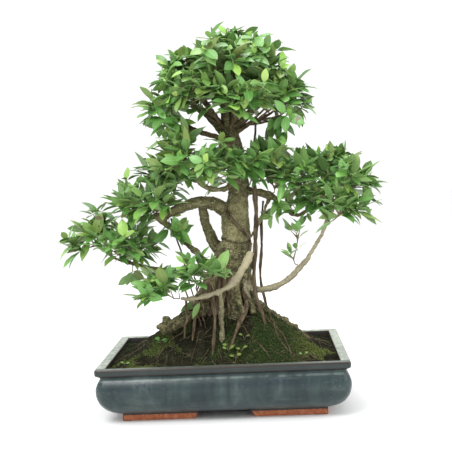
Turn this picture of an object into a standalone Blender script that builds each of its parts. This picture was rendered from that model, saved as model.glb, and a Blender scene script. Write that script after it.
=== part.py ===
"""Banyan-style fig bonsai in a glazed rectangular tray, built as separate solids.

Metres, +Z up. The tray's feet stand on z = 0 and its long side runs along X, with the front at -Y.
The model is moved at the end so that the origin is the middle of its footprint.
"""

import math
import random

import bmesh
import bpy
from mathutils import Vector
from mathutils.bvhtree import BVHTree

# ---------------------------------------------------------------- driving dimensions
FIT_GAP = 0.0003  # clearance between pieces that touch
WOOD_CLEARANCE = 1.5 * FIT_GAP  # round a piece of wood, in whatever it grows from or stands in

POT_LENGTH = 0.506
POT_DEPTH = 0.360
POT_HEIGHT = 0.1145
RIM_WIDTH = 0.0195
RIM_HEIGHT = 0.012
NECK_DROP = 0.021  # from the rim's top down to the groove under the rim
NECK_INSET = 0.008
BELLY_INSET = -0.0012  # the belly's widest part stands out this far beyond the rim
BULGE_DROP = 0.046  # from the rim's top down to the widest part of the belly
FOOT_HEIGHT = 0.0125
FOOT_INSET = 0.046  # from the rim's edge in to the feet's outer faces
FOOT_WIDTH = 0.018
FOOT_SPLAY = 0.012  # how much longer a foot is at its top than where it stands
FOOT_GAP_LENGTHWISE = 0.122  # between the feet, along the long side
FOOT_GAP_DEPTHWISE = 0.090
FOOT_SINK = 0.002  # how far a foot is sunk into the base that it joins
FOOT_BEVEL = 0.0018
FLOOR_THICKNESS = 0.010
BELLY_WALL = 0.014
RIM_CORNER = 0.006
BELLY_CORNER = 0.020
DRAIN_RADIUS = 0.013
DRAIN_SPACING = 0.220
DRAIN_SIDES = 16
RIM_INNER_BEVEL = 0.0012

MESH_SIDE = 0.042
MESH_THICKNESS = 0.0012
MESH_BAR = 0.002
MESH_CELLS = 3
CUT_MARGIN = 0.001  # a cutter stands this far beyond what it cuts

SOIL_DROP = 0.0115  # the soil's edge lies this far below the rim
MOUND_HEIGHT = 0.125
MOUND_HALF_LENGTH = 0.530 * POT_LENGTH
MOUND_HALF_DEPTH = 0.422 * POT_DEPTH
MOUND_CENTRE_X = 0.002
SOIL_LUMPS = 0.0022
MOSS_THICKNESS = 0.0055
ROOT_DEPTH = 0.016  # how far an aerial root's end goes into the soil

TREE_HEIGHT = 0.700  # from the soil's edge to the top leaf, the routes' drawn size
TREE_SPREAD = 0.700
TRUNK_GIRTH = 1.0  # thickness of the trunk against the drawn one
BRANCH_GIRTH = 1.0
TWIG_RADIUS = 0.0016
MAIN_TWIG = 1.15  # a spray's main twig and its side shoots, against the twig radius
SIDE_TWIG = 0.85
NODE_SPACING = 0.0175
LEAVES_PER_ROSETTE = 3
LEAF_LENGTH = 0.056
LEAF_WIDTH = 0.026
LEAF_THICKNESS = 0.0009
LEAF_FOLD = 0.22  # rise of the leaf's edges as a share of its half width
LEAF_DROOP = 0.16
LEAF_CLEARANCE = 0.0009
TWIG_ROOM = 2.0  # clear space round a twig, in twig radii
ROUTE_SHIFT = 0.004
ROUTE_ATTEMPTS = 8
LEAF_ATTEMPTS = 14

DRAWN_HEIGHT = 0.700
DRAWN_SPREAD = 0.700
DRAWN_SOIL = 0.103

CORNER_STEPS = 3
BELLY_STEPS = 5
SOIL_CELLS = (18, 13)

RANDOM = random.Random(11)

# ---------------------------------------------------------------- materials


def finish(name, colour, roughness, metallic=0.0):
    material = bpy.data.materials.new(name)
    material.use_nodes = True
    shader = material.node_tree.nodes["Principled BSDF"]
    shader.inputs["Base Color"].default_value = (*colour, 1.0)
    shader.inputs["Roughness"].default_value = roughness
    shader.inputs["Metallic"].default_value = metallic
    return material


def clear_scene():
    for old in list(bpy.data.objects):
        bpy.data.objects.remove(old, do_unlink=True)


clear_scene()
GLAZE = finish("blue_green_glaze", (0.085, 0.150, 0.165), 0.28)
PLASTIC = finish("black_mesh", (0.02, 0.02, 0.02), 0.6)
SOIL = finish("dark_soil", (0.035, 0.030, 0.022), 0.95)
MOSS = finish("moss", (0.070, 0.130, 0.020), 0.95)
BARK = finish("pale_bark", (0.330, 0.280, 0.180), 0.85)
ROOT_BARK = finish("root_bark", (0.200, 0.145, 0.105), 0.85)
LEAF = finish("fig_leaf", (0.060, 0.230, 0.040), 0.35)

# ---------------------------------------------------------------- mesh helpers


def new_object(name, bm, material, smooth_angle=40):
    bmesh.ops.recalc_face_normals(bm, faces=bm.faces)
    mesh = bpy.data.meshes.new(name)
    bm.to_mesh(mesh)
    bm.free()
    if material:
        mesh.materials.append(material)
        mesh.shade_smooth()
        mesh.set_sharp_from_angle(angle=math.radians(smooth_angle))
    made = bpy.data.objects.new(name, mesh)
    bpy.context.scene.collection.objects.link(made)
    return made


def as_cutter(made):
    made.hide_render = True
    made.display_type = "WIRE"
    return made


def boolean(made, operation, other):
    step = made.modifiers.new(f"{operation.lower()}_{other.name}", "BOOLEAN")
    step.operation = operation
    step.object = other
    step.solver = "EXACT"


def boolean_group(made, group):
    step = made.modifiers.new(f"cut_{group.name}", "BOOLEAN")
    step.operation = "DIFFERENCE"
    step.operand_type = "COLLECTION"
    step.collection = group
    step.solver = "EXACT"


def loft(bm, rings, triangles=False):
    """A closed body through rings of equally many points, with a flat face on each end.

    With triangles, each side is split the same way every time, so that a body and its
    slightly larger copy stay the same distance apart.
    """
    loops = [[bm.verts.new(point) for point in ring] for ring in rings]
    for low, high in zip(loops, loops[1:]):
        for i in range(len(low)):
            j = (i + 1) % len(low)
            if triangles:
                bm.faces.new((low[i], low[j], high[j]))
                bm.faces.new((low[i], high[j], high[i]))
            else:
                bm.faces.new((low[i], low[j], high[j], high[i]))
    bm.faces.new(reversed(loops[0]))
    bm.faces.new(loops[-1])


def box_mesh(bm, low, high):
    corners = [(low.x, low.y), (high.x, low.y), (high.x, high.y), (low.x, high.y)]
    loft(bm, [[(x, y, z) for x, y in corners] for z in (low.z, high.z)])


def smooth_route(points, per_span):
    """Points of a Catmull-Rom curve through the given ones, each a tuple of any length."""
    padded = [points[0]] + list(points) + [points[-1]]
    made = []
    for i in range(1, len(padded) - 2):
        p0, p1, p2, p3 = padded[i - 1 : i + 3]
        for step in range(per_span):
            t = step / per_span
            made.append(
                tuple(
                    0.5
                    * (
                        2 * b
                        + (c - a) * t
                        + (2 * a - 5 * b + 4 * c - d) * t * t
                        + (3 * b - a - 3 * c + d) * t**3
                    )
                    for a, b, c, d in zip(p0, p1, p2, p3)
                )
            )
    made.append(tuple(points[-1]))
    return made


def frames_along(points):
    """(tangent, side, up) at each point, turning as little as possible from one to the next."""
    tangents = []
    for i in range(len(points)):
        ahead = points[min(i + 1, len(points) - 1)]
        behind = points[max(i - 1, 0)]
        tangents.append((ahead - behind).normalized())
    start = Vector((0, 1, 0)) if abs(tangents[0].y) < 0.9 else Vector((1, 0, 0))
    side = (start - tangents[0] * start.dot(tangents[0])).normalized()
    frames = []
    for tangent in tangents:
        side = (side - tangent * side.dot(tangent)).normalized()
        frames.append((tangent, side, tangent.cross(side)))
    return frames


# ---------------------------------------------------------------- the tray


def tray_ring(inset, z, corner):
    """A rounded rectangle, counter-clockwise from above."""
    half_x, half_y = POT_LENGTH / 2 - inset, POT_DEPTH / 2 - inset
    ring = []
    for quarter, (sx, sy) in enumerate(((1, 1), (-1, 1), (-1, -1), (1, -1))):
        for step in range(CORNER_STEPS + 1):
            angle = (quarter + step / CORNER_STEPS) * math.pi / 2
            ring.append(
                (
                    sx * (half_x - corner) + corner * math.cos(angle),
                    sy * (half_y - corner) + corner * math.sin(angle),
                    z,
                )
            )
    return ring


def belly(inset_low, inset_wide, z_low, z_wide, steps):
    """(inset, z, corner) along the quarter ellipse from the base out to the widest part."""
    profile = []
    for step in range(steps + 1):
        angle = math.pi / 2 * (1 - step / steps)
        inset = inset_low - (inset_low - inset_wide) * math.cos(angle)
        z = z_wide - (z_wide - z_low) * math.sin(angle)
        profile.append((inset, z, BELLY_CORNER))
    return profile


def outer_profile():
    bulge_z = POT_HEIGHT - BULGE_DROP
    neck_z = POT_HEIGHT - NECK_DROP
    shoulder = (NECK_INSET * 0.45, bulge_z + (neck_z - bulge_z) * 0.75, BELLY_CORNER * 0.8)
    return belly(FOOT_INSET, BELLY_INSET, FOOT_HEIGHT, bulge_z, BELLY_STEPS) + [
        shoulder,
        (NECK_INSET, neck_z, BELLY_CORNER * 0.5),
        (NECK_INSET * 0.75, neck_z + 0.003, RIM_CORNER * 1.6),
        (0.0008, POT_HEIGHT - RIM_HEIGHT, RIM_CORNER),
        (0.0, POT_HEIGHT - 0.0022, RIM_CORNER),
        (0.0020, POT_HEIGHT, RIM_CORNER),
    ]


def inner_profile(gap=0.0):
    """The cavity from its floor up to the rim. A gap makes it smaller all round."""
    bulge_z = POT_HEIGHT - BULGE_DROP
    floor_z = FOOT_HEIGHT + FLOOR_THICKNESS
    low = belly(FOOT_INSET + BELLY_WALL, RIM_WIDTH, floor_z, bulge_z, BELLY_STEPS - 1)
    rim = [(RIM_WIDTH, POT_HEIGHT - RIM_INNER_BEVEL, RIM_CORNER)]
    profile = [(inset + gap, z, max(corner - gap, 0.004)) for inset, z, corner in low + rim]
    profile[0] = (profile[0][0], floor_z + gap, profile[0][2])
    return profile


def make_foot(sx, sy):
    """One L-shaped bracket foot, with inner ends that slope outwards on the way down."""
    outer_x = POT_LENGTH / 2 - FOOT_INSET
    outer_y = POT_DEPTH / 2 - FOOT_INSET
    rings = []
    for z, splay in ((0.0, 0.0), (FOOT_HEIGHT + FOOT_SINK, FOOT_SPLAY)):
        end_x = FOOT_GAP_LENGTHWISE / 2 - splay
        end_y = FOOT_GAP_DEPTHWISE / 2 - splay
        outline = (
            (outer_x, outer_y),
            (end_x, outer_y),
            (end_x, outer_y - FOOT_WIDTH),
            (outer_x - FOOT_WIDTH, outer_y - FOOT_WIDTH),
            (outer_x - FOOT_WIDTH, end_y),
            (outer_x, end_y),
        )
        rings.append([(sx * x, sy * y, z) for x, y in outline])
    bm = bmesh.new()
    loft(bm, rings)
    bmesh.ops.recalc_face_normals(bm, faces=bm.faces)
    corners = [e for e in bm.edges if min(v.co.z for v in e.verts) < FOOT_HEIGHT / 2]
    bmesh.ops.bevel(
        bm, geom=corners, offset=FOOT_BEVEL, segments=1, affect="EDGES", clamp_overlap=True
    )
    return as_cutter(new_object(f"foot_shape_{sx}_{sy}", bm, None))


def make_drain(x):
    bm = bmesh.new()
    bmesh.ops.create_cone(
        bm,
        cap_ends=True,
        segments=DRAIN_SIDES,
        radius1=DRAIN_RADIUS,
        radius2=DRAIN_RADIUS,
        depth=4 * FLOOR_THICKNESS,
    )
    bmesh.ops.translate(bm, verts=bm.verts, vec=(x, 0, FOOT_HEIGHT + FLOOR_THICKNESS / 2))
    return as_cutter(new_object(f"drain_shape_{'left' if x < 0 else 'right'}", bm, None))


def make_pot():
    outside, inside = outer_profile(), inner_profile()
    rim_top = [(RIM_WIDTH - RIM_INNER_BEVEL, POT_HEIGHT, RIM_CORNER)]
    bm = bmesh.new()
    loft(bm, [tray_ring(*row) for row in outside + rim_top + inside[::-1]])
    pot = new_object("pot", bm, GLAZE)
    for sx in (-1, 1):
        for sy in (-1, 1):
            boolean(pot, "UNION", make_foot(sx, sy))
    for x in (-DRAIN_SPACING / 2, DRAIN_SPACING / 2):
        boolean(pot, "DIFFERENCE", make_drain(x))
    return pot


def make_drainage_mesh(name, x):
    """A plastic screen over a drain hole, lying on the tray's floor."""
    z = FOOT_HEIGHT + FLOOR_THICKNESS + FIT_GAP
    half = MESH_SIDE / 2
    bm = bmesh.new()
    box_mesh(bm, Vector((x - half, -half, z)), Vector((x + half, half, z + MESH_THICKNESS)))
    screen = new_object(name, bm, PLASTIC)
    pitch = (MESH_SIDE - MESH_BAR) / MESH_CELLS
    first = Vector((x - half + MESH_BAR, -half + MESH_BAR, z - CUT_MARGIN))
    size = Vector((pitch - MESH_BAR, pitch - MESH_BAR, MESH_THICKNESS + 2 * CUT_MARGIN))
    cutter = bmesh.new()
    for i in range(MESH_CELLS):
        for j in range(MESH_CELLS):
            low = first + Vector((i * pitch, j * pitch, 0))
            box_mesh(cutter, low, low + size)
    boolean(screen, "DIFFERENCE", as_cutter(new_object(f"{name}_holes", cutter, None)))
    pocket = bmesh.new()
    gap = Vector((FIT_GAP, FIT_GAP, FIT_GAP))
    low = Vector((x - half, -half, z - 2 * CUT_MARGIN))
    high = Vector((x + half, half, z + MESH_THICKNESS))
    box_mesh(pocket, low - gap, high + gap)
    return as_cutter(new_object(f"{name}_pocket", pocket, None))


# ---------------------------------------------------------------- soil and moss


def soil_height(x, y):
    """The mound: flat at the tray's edge, with a broad hump that carries the trunk."""
    edge = POT_HEIGHT - SOIL_DROP
    reach = math.hypot((x - MOUND_CENTRE_X) / MOUND_HALF_LENGTH, y / MOUND_HALF_DEPTH)
    hump = math.cos(math.pi / 2 * min(reach, 1.0)) ** 2
    lumps = math.sin(61 * x + 1.3) * math.sin(53 * y + 0.4) + 0.6 * math.sin(97 * x - 71 * y)
    return edge + MOUND_HEIGHT * hump + SOIL_LUMPS * lumps * (0.4 + hump)


def soil_block(name, lift):
    """The heightfield over the whole tray, wider than the cavity that trims it."""
    cells_x, cells_y = SOIL_CELLS
    half_x, half_y = POT_LENGTH / 2, POT_DEPTH / 2
    bm = bmesh.new()
    grid = []
    for j in range(cells_y + 1):
        y = -half_y + POT_DEPTH * j / cells_y
        row = []
        for i in range(cells_x + 1):
            x = -half_x + POT_LENGTH * i / cells_x
            row.append(bm.verts.new((x, y, soil_height(x, y) + lift)))
        grid.append(row)
    for low, high in zip(grid, grid[1:]):
        for i in range(cells_x):
            bm.faces.new((low[i], low[i + 1], high[i + 1]))
            bm.faces.new((low[i], high[i + 1], high[i]))
    skirt = bmesh.ops.extrude_edge_only(bm, edges=[e for e in bm.edges if e.is_boundary])
    below = [v for v in skirt["geom"] if isinstance(v, bmesh.types.BMVert)]
    for vert in below:
        vert.co.z = 0.0
    bmesh.ops.holes_fill(bm, edges=[e for e in bm.edges if e.is_boundary])
    return new_object(name, bm, SOIL)


def make_soil(below_ground):
    soil = soil_block("soil", 0.0)
    cavity = bmesh.new()
    profile = inner_profile(FIT_GAP)
    top = (RIM_WIDTH + FIT_GAP, POT_HEIGHT + 2 * MOUND_HEIGHT, RIM_CORNER)
    loft(cavity, [tray_ring(*row) for row in profile + [top]])
    boolean(soil, "INTERSECT", as_cutter(new_object("cavity_shape", cavity, None)))
    boolean_group(soil, below_ground)
    return soil


def make_moss(name, centre, half_size, turn, above_soil, below_ground):
    """A low cushion that follows the mound, cut clear of the soil and of the roots.

    Its centre and half size are shares of the tray's length and depth.
    """
    segments, steps = 16, 3
    bm = bmesh.new()
    tops, bottoms = [], []
    for ring in range(steps, 0, -1):
        share = ring / steps
        top, bottom = [], []
        for k in range(segments):
            angle = 2 * math.pi * k / segments
            wave = 1 + 0.10 * math.sin(3 * angle + turn) + 0.06 * math.sin(5 * angle)
            x = POT_LENGTH * (centre[0] + half_size[0] * share * wave * math.cos(angle))
            y = POT_DEPTH * (centre[1] + half_size[1] * share * wave * math.sin(angle))
            thick = MOSS_THICKNESS * (1 - 0.5 * share**3)
            top.append((x, y, soil_height(x, y) + thick))
            bottom.append((x, y, soil_height(x, y) - MOSS_THICKNESS))
        tops.append(top)
        bottoms.append(bottom)
    loft(bm, bottoms[::-1] + tops)
    moss = new_object(name, bm, MOSS)
    boolean(moss, "DIFFERENCE", above_soil)
    boolean_group(moss, below_ground)
    return moss


# ---------------------------------------------------------------- wood


def stretched(point):
    """A drawn point at the tree's real height and spread, standing on the soil."""
    x, y, z = point
    level = POT_HEIGHT - SOIL_DROP
    return Vector(
        (
            x * TREE_SPREAD / DRAWN_SPREAD,
            y * TREE_SPREAD / DRAWN_SPREAD,
            level + (z - DRAWN_SOIL) * TREE_HEIGHT / DRAWN_HEIGHT,
        )
    )


def near_soil(x, y, lift):
    """A drawn point this far above the soil's real surface, so that roots follow the mound."""
    real = stretched((x, y, 0))
    rise = soil_height(real.x, real.y) + lift - (POT_HEIGHT - SOIL_DROP)
    return (x, y, DRAWN_SOIL + rise * DRAWN_HEIGHT / TREE_HEIGHT)


def into_soil(x, y):
    """Where an aerial root ends, so that it always reaches into the soil."""
    return near_soil(x, y, -ROOT_DEPTH)


class Wood:
    """A tapering piece of trunk, branch or root, lofted along a smooth route."""

    def __init__(self, name, route, radii, sides=7, per_span=2, flutes=0.0, girth=None, bark=BARK):
        girth = BRANCH_GIRTH if girth is None else girth
        rows = [(*stretched(p), r * girth) for p, r in zip(route, radii)]
        smooth = smooth_route(rows, per_span)
        self.name = name
        self.bark = bark
        self.sides = sides
        self.flutes = flutes
        self.points = [Vector(row[:3]) for row in smooth]
        self.radii = [row[3] for row in smooth]
        self.frames = frames_along(self.points)

    def rings(self, grow):
        """The cross sections, each side moved out by grow."""
        rings = []
        last = len(self.points) - 1
        for i, (centre, radius, frame) in enumerate(zip(self.points, self.radii, self.frames)):
            tangent, side, up = frame
            lengthwise = {0: -grow, last: grow}.get(i, 0.0)
            ring = []
            for k in range(self.sides):
                angle = 2 * math.pi * k / self.sides
                swell = self.flutes * (
                    math.cos(3 * angle + 0.35 * i) + 0.6 * math.cos(5 * angle - 0.2 * i + 1)
                )
                reach = radius * (1 + swell * (1 - 0.75 * i / last)) + grow
                out = side * math.cos(angle) + up * math.sin(angle)
                ring.append(centre + tangent * lengthwise + out * reach)
            rings.append(ring)
        return rings

    def solid(self, cut_by=()):
        bm = bmesh.new()
        loft(bm, self.rings(0.0), triangles=True)
        self.object = new_object(self.name, bm, self.bark, smooth_angle=60)
        bm = bmesh.new()
        loft(bm, self.rings(WOOD_CLEARANCE), triangles=True)
        self.clearance = as_cutter(new_object(f"{self.name}_clearance", bm, None))
        for other in cut_by:
            boolean(self.object, "DIFFERENCE", other.clearance)
        occupy(self.rings(LEAF_CLEARANCE))
        return self

    def at(self, share):
        """(centre, radius, tangent) at a share of the way along."""
        place = min(max(share, 0.0), 1.0) * (len(self.points) - 1)
        i = min(int(place), len(self.points) - 2)
        t = place - i
        return (
            self.points[i].lerp(self.points[i + 1], t),
            self.radii[i] * (1 - t) + self.radii[i + 1] * t,
            self.frames[i][0].lerp(self.frames[i + 1][0], t).normalized(),
        )


# ---------------------------------------------------------------- what is in the way

occupied = []


def tree_of(rings, tip=None):
    """A search tree of the surface through some rings, which may end in a point."""
    points = [point for ring in rings for point in ring]
    count = len(rings[0])
    faces = []
    for level in range(len(rings) - 1):
        for k in range(count):
            a, b = level * count + k, level * count + (k + 1) % count
            faces.append((a, b, b + count, a + count))
    last = (len(rings) - 1) * count
    if tip is None:
        faces.append(tuple(range(last, last + count)))
    else:
        points.append(tip)
        faces += [(last + k, last + (k + 1) % count, len(points) - 1) for k in range(count)]
    low = Vector([min(p[axis] for p in points) for axis in range(3)])
    high = Vector([max(p[axis] for p in points) for axis in range(3)])
    return low, high, BVHTree.FromPolygons([Vector(p) for p in points], faces)


def occupy(rings, tip=None):
    occupied.append(tree_of(rings, tip))


def is_clear(rings, tip=None):
    low, high, tree = tree_of(rings, tip)
    for other_low, other_high, other in occupied:
        if any(low[k] > other_high[k] or high[k] < other_low[k] for k in range(3)):
            continue
        if tree.overlap(other):
            return False
    return True


def above_ground(points):
    return all(p.z > soil_height(p.x, p.y) + 2 * MOSS_THICKNESS for p in points)


# ---------------------------------------------------------------- twigs and leaves


def matched(face, ring):
    """The ring's points, turned so that they follow on from the face's corners."""
    corners = [vert.co.copy() for vert in face.verts]
    count = len(corners)

    def apart(turn):
        return sum((corners[i] - ring[(i + turn) % count]).length for i in range(count))

    turn = min(range(count), key=apart)
    return [ring[(i + turn) % count] for i in range(count)]


def extrude_to(bm, face, ring):
    """Extrudes one face to the given corners and returns the new end face."""
    end = bmesh.ops.extrude_discrete_faces(bm, faces=[face])["faces"][0]
    for vert, place in zip(end.verts, ring):
        vert.co = place
    return end


def side_faces(end):
    """The faces that the last extrusion made around its end face."""
    return [next(f for f in edge.link_faces if f != end) for edge in end.edges]


def square_ring(centre, direction, radius, hint):
    side = (hint - direction * hint.dot(direction)).normalized()
    up = direction.cross(side)
    corners = [math.radians(45 + 90 * k) for k in range(4)]
    return [centre + (side * math.cos(a) + up * math.sin(a)) * radius for a in corners]


def leaf_shape(base, along, facing, scale, grow=0.0):
    """Rings and tip of a pointed elliptical leaf, folded along its midrib and drooping."""
    along = along.normalized()
    up = (facing - along * facing.dot(along)).normalized()
    side = up.cross(along)
    length = LEAF_LENGTH * scale + grow
    half_thick = LEAF_THICKNESS / 2 + grow
    rings = []
    for share, width in ((0.30, 0.86), (0.64, 0.84)):
        half = LEAF_WIDTH * scale / 2 * width + grow
        centre = base + along * length * share - up * LEAF_DROOP * length * share**2
        edge = up * half * LEAF_FOLD
        rings.append(
            [
                centre + side * half + edge,
                centre + up * half_thick,
                centre - side * half + edge,
                centre - up * half_thick,
            ]
        )
    return rings, base + along * length - up * LEAF_DROOP * length


def try_leaf(face, pad_centre, scale, lean):
    """Rings of a leaf that grows from the face without touching anything, or None."""
    base = face.calc_center_median()
    normal = face.normal.copy()
    for attempt in range(LEAF_ATTEMPTS):
        spread = 0.25 + 0.05 * attempt
        shake = Vector([RANDOM.uniform(-spread, spread) for _ in range(3)])
        outward = (base - pad_centre).normalized()
        along = normal * 0.9 + lean * 0.4 + outward * 0.45 + Vector((0, 0, 0.12)) + shake
        if along.normalized().dot(normal) < 0.25:
            continue
        facing = Vector((0, 0, 1)) + outward * 0.5 + shake * 0.6
        if abs(facing.normalized().dot(along.normalized())) > 0.9:
            facing = facing + normal.orthogonal()
        rings, tip = leaf_shape(base, along, facing, scale)
        grown, grown_tip = leaf_shape(base, along, facing, scale, grow=LEAF_CLEARANCE)
        start = [base.lerp(point, 0.12) for point in grown[0]]
        body = [start] + grown
        if above_ground([tip] + rings[0] + rings[1]) and is_clear(body, grown_tip):
            occupy(body, grown_tip)
            return rings, tip
    return None


def grow_leaf(bm, face, rings, tip):
    for ring in rings:
        face = extrude_to(bm, face, matched(face, ring))
    end = extrude_to(bm, face, [vert.co.copy() for vert in face.verts])
    bmesh.ops.pointmerge(bm, verts=list(end.verts), merge_co=tip)


def bent_route(start, away, tip, length):
    """A twig's route: straight off its parent, then round to its tip."""
    knee = start + away * min(0.012, length * 0.3)
    middle = knee.lerp(tip, 0.5) + Vector((0, 0, -0.04)) * length
    return [Vector(p) for p in smooth_route([tuple(p) for p in (start, knee, middle, tip)], 4)]


def twig_rings(route, radius, node_count):
    """Pairs of rings, a short one at each leaf node with a longer stretch between."""
    rings = []
    for node in range(node_count):
        share = (node + 1) / node_count
        for ends in (share - TWIG_RADIUS * 1.3 / (NODE_SPACING * node_count), share):
            place = ends * (len(route) - 1)
            i = min(int(place), len(route) - 2)
            centre = route[i].lerp(route[i + 1], place - i)
            direction = (route[i + 1] - route[i]).normalized()
            thin = radius * (1 - 0.35 * ends)
            rings.append(square_ring(centre, direction, thin, Vector((0.3, 0.2, 1))))
    return rings


class Twig:
    """The stem of a spray and the faces where its leaves and side shoots grow."""

    def __init__(self, bm, face, route, radius, node_count):
        self.nodes = []
        rings = twig_rings(route, radius, node_count)
        first = [vert.co.copy() for vert in face.verts]
        for index, ring in enumerate(rings):
            face = extrude_to(bm, face, matched(face, ring))
            if index % 2:
                self.nodes.append(side_faces(face))
        self.end = face
        self.body = [first] + rings
        self.lean = (route[-1] - route[-2]).normalized()


def start_face(bm, centre, direction, radius):
    """The twig's base: a very short square stub, whose outer end is extruded further."""
    ring = square_ring(centre, direction, radius, Vector((0.3, 0.2, 1)))
    top = [point + direction * 0.001 for point in ring]
    loft(bm, [ring, top])
    bmesh.ops.recalc_face_normals(bm, faces=bm.faces)
    bm.faces.ensure_lookup_table()
    return max(bm.faces, key=lambda f: f.calc_center_median().dot(direction))


class Spray:
    """One leafy shoot: a twig that stands clear of its parent, side shoots and leaves."""

    def __init__(self, name, parent, share, tip, side_shoots=2, scale=1.0):
        self.name, self.scale = name, scale
        tip = stretched(tip)
        centre, radius, tangent = parent.at(share)
        if share >= 1:
            away = tangent
            start = centre + away * FIT_GAP * 2
        else:
            reach = tip - centre
            away = (reach - tangent * reach.dot(tangent)).normalized()
            start = centre + away * (radius * (1 + parent.flutes) + FIT_GAP * 2)
        length = (tip - start).length
        count = max(2, round(length / NODE_SPACING))
        route = self.clear_route(start, away, tip, count)
        self.pad_centre = start.lerp(tip, 0.3) - Vector((0, 0, 0.03))
        self.bm = bmesh.new()
        face = start_face(self.bm, start, away, TWIG_RADIUS * MAIN_TWIG)
        self.twigs = [Twig(self.bm, face, route, TWIG_RADIUS * MAIN_TWIG, count)]
        occupy(self.twigs[0].body)
        for shoot in range(side_shoots):
            self.add_side_shoot(count, shoot)

    def clear_route(self, start, away, tip, count):
        """The twig's route, its tip shifted a little if it would cross another twig."""
        shift = Vector((0, 0, 0))
        for attempt in range(ROUTE_ATTEMPTS):
            goal = tip + shift
            route = bent_route(start, away, goal, (goal - start).length)
            if is_clear(twig_rings(route, TWIG_RADIUS * TWIG_ROOM, count)[1:]):
                break
            reach = ROUTE_SHIFT * (attempt + 1)
            shift = Vector([RANDOM.uniform(-reach, reach) for _ in range(3)])
        return route

    def add_side_shoot(self, count, shoot):
        """A shorter shoot from one of the main twig's nodes, on whichever side is free."""
        main = self.twigs[0]
        node = main.nodes[min(max(1, count - 2 - 2 * (shoot // 2)), count - 1)]
        options = sorted(node, key=lambda f: -abs(f.normal.z - 0.2))
        options = options[::-1] if shoot % 2 else options[::-1][1:] + options[-1:]
        for face in options:
            base, normal = face.calc_center_median(), face.normal.copy()
            length = NODE_SPACING * 2.1 * self.scale
            aim = (normal + main.lean * 0.5 + Vector((0, 0, 0.25))).normalized()
            tip = base + aim * length
            route = bent_route(base, normal, tip, length)
            trial = twig_rings(route, TWIG_RADIUS * TWIG_ROOM, 3)[1:]
            if is_clear(trial):
                node.remove(face)
                twig = Twig(self.bm, face, route, TWIG_RADIUS * SIDE_TWIG, 1)
                self.twigs.append(twig)
                occupy(twig_rings(route, TWIG_RADIUS, 4)[1:])
                return

    def add_leaves(self):
        """One or two leaves at each node but the oldest, and a rosette at the end of each shoot."""
        main = self.twigs[0]
        for number, faces in enumerate(main.nodes[1:]):
            turn = number % max(len(faces), 1)
            self.leaves_on(faces[turn:] + faces[:turn], main.lean, 1 + number % 2)
        for shoot in self.twigs[1:]:
            self.leaves_on(shoot.nodes[-1], shoot.lean, LEAVES_PER_ROSETTE)
        for twig in self.twigs:
            self.leaves_on([twig.end], twig.lean, 1)

    def leaves_on(self, faces, lean, wanted):
        for face in faces:
            if wanted == 0:
                return
            if not face.is_valid:
                continue
            scale = self.scale * RANDOM.uniform(0.82, 1.08)
            found = try_leaf(face, self.pad_centre, scale, lean)
            if found:
                grow_leaf(self.bm, face, *found)
                wanted -= 1

    def solid(self):
        return new_object(self.name, self.bm, LEAF, smooth_angle=30)


# ---------------------------------------------------------------- the tree's routes


def make_trunk():
    route = [
        (0.006, 0.004, 0.112),
        (0.008, 0.002, 0.165),
        (0.010, 0.000, 0.207),
        (0.012, 0.000, 0.242),
        (0.018, 0.000, 0.283),
        (0.026, 0.000, 0.318),
        (0.033, 0.000, 0.350),
        (0.032, 0.000, 0.392),
        (0.041, 0.000, 0.432),
        (0.046, 0.000, 0.466),
        (0.042, 0.000, 0.518),
        (0.031, 0.000, 0.568),
        (0.027, 0.000, 0.588),
    ]
    radii = (0.045, 0.062, 0.052, 0.041, 0.037, 0.0355, 0.031, 0.029, 0.0215, 0.021)
    radii += (0.019, 0.020, 0.014)
    return Wood("trunk", route, radii, 14, 2, flutes=0.13, girth=TRUNK_GIRTH).solid()


CROWN_BRANCHES = (
    (
        "crown_branch_left",
        [
            (0.028, -0.002, 0.560),
            (0.000, -0.004, 0.598),
            (-0.030, -0.008, 0.628),
            (-0.060, -0.012, 0.646),
        ],
        (0.0110, 0.0088, 0.0068, 0.0045),
    ),
    (
        "crown_branch_right",
        [
            (0.032, 0.000, 0.560),
            (0.056, 0.002, 0.598),
            (0.084, 0.004, 0.626),
            (0.112, 0.006, 0.645),
        ],
        (0.0100, 0.0082, 0.0066, 0.0045),
    ),
    (
        "crown_branch_front",
        [
            (0.028, -0.004, 0.556),
            (0.028, -0.030, 0.592),
            (0.030, -0.050, 0.632),
            (0.032, -0.058, 0.662),
        ],
        (0.0090, 0.0070, 0.0056, 0.0042),
    ),
    (
        "crown_branch_back",
        [
            (0.030, 0.004, 0.558),
            (0.032, 0.030, 0.594),
            (0.034, 0.056, 0.626),
            (0.034, 0.076, 0.656),
        ],
        (0.0095, 0.0076, 0.0060, 0.0044),
    ),
    (
        "crown_branch_top",
        [
            (0.027, 0.000, 0.570),
            (0.020, 0.000, 0.612),
            (0.024, 0.000, 0.652),
            (0.030, 0.002, 0.692),
        ],
        (0.0100, 0.0078, 0.0060, 0.0044),
    ),
)


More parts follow.
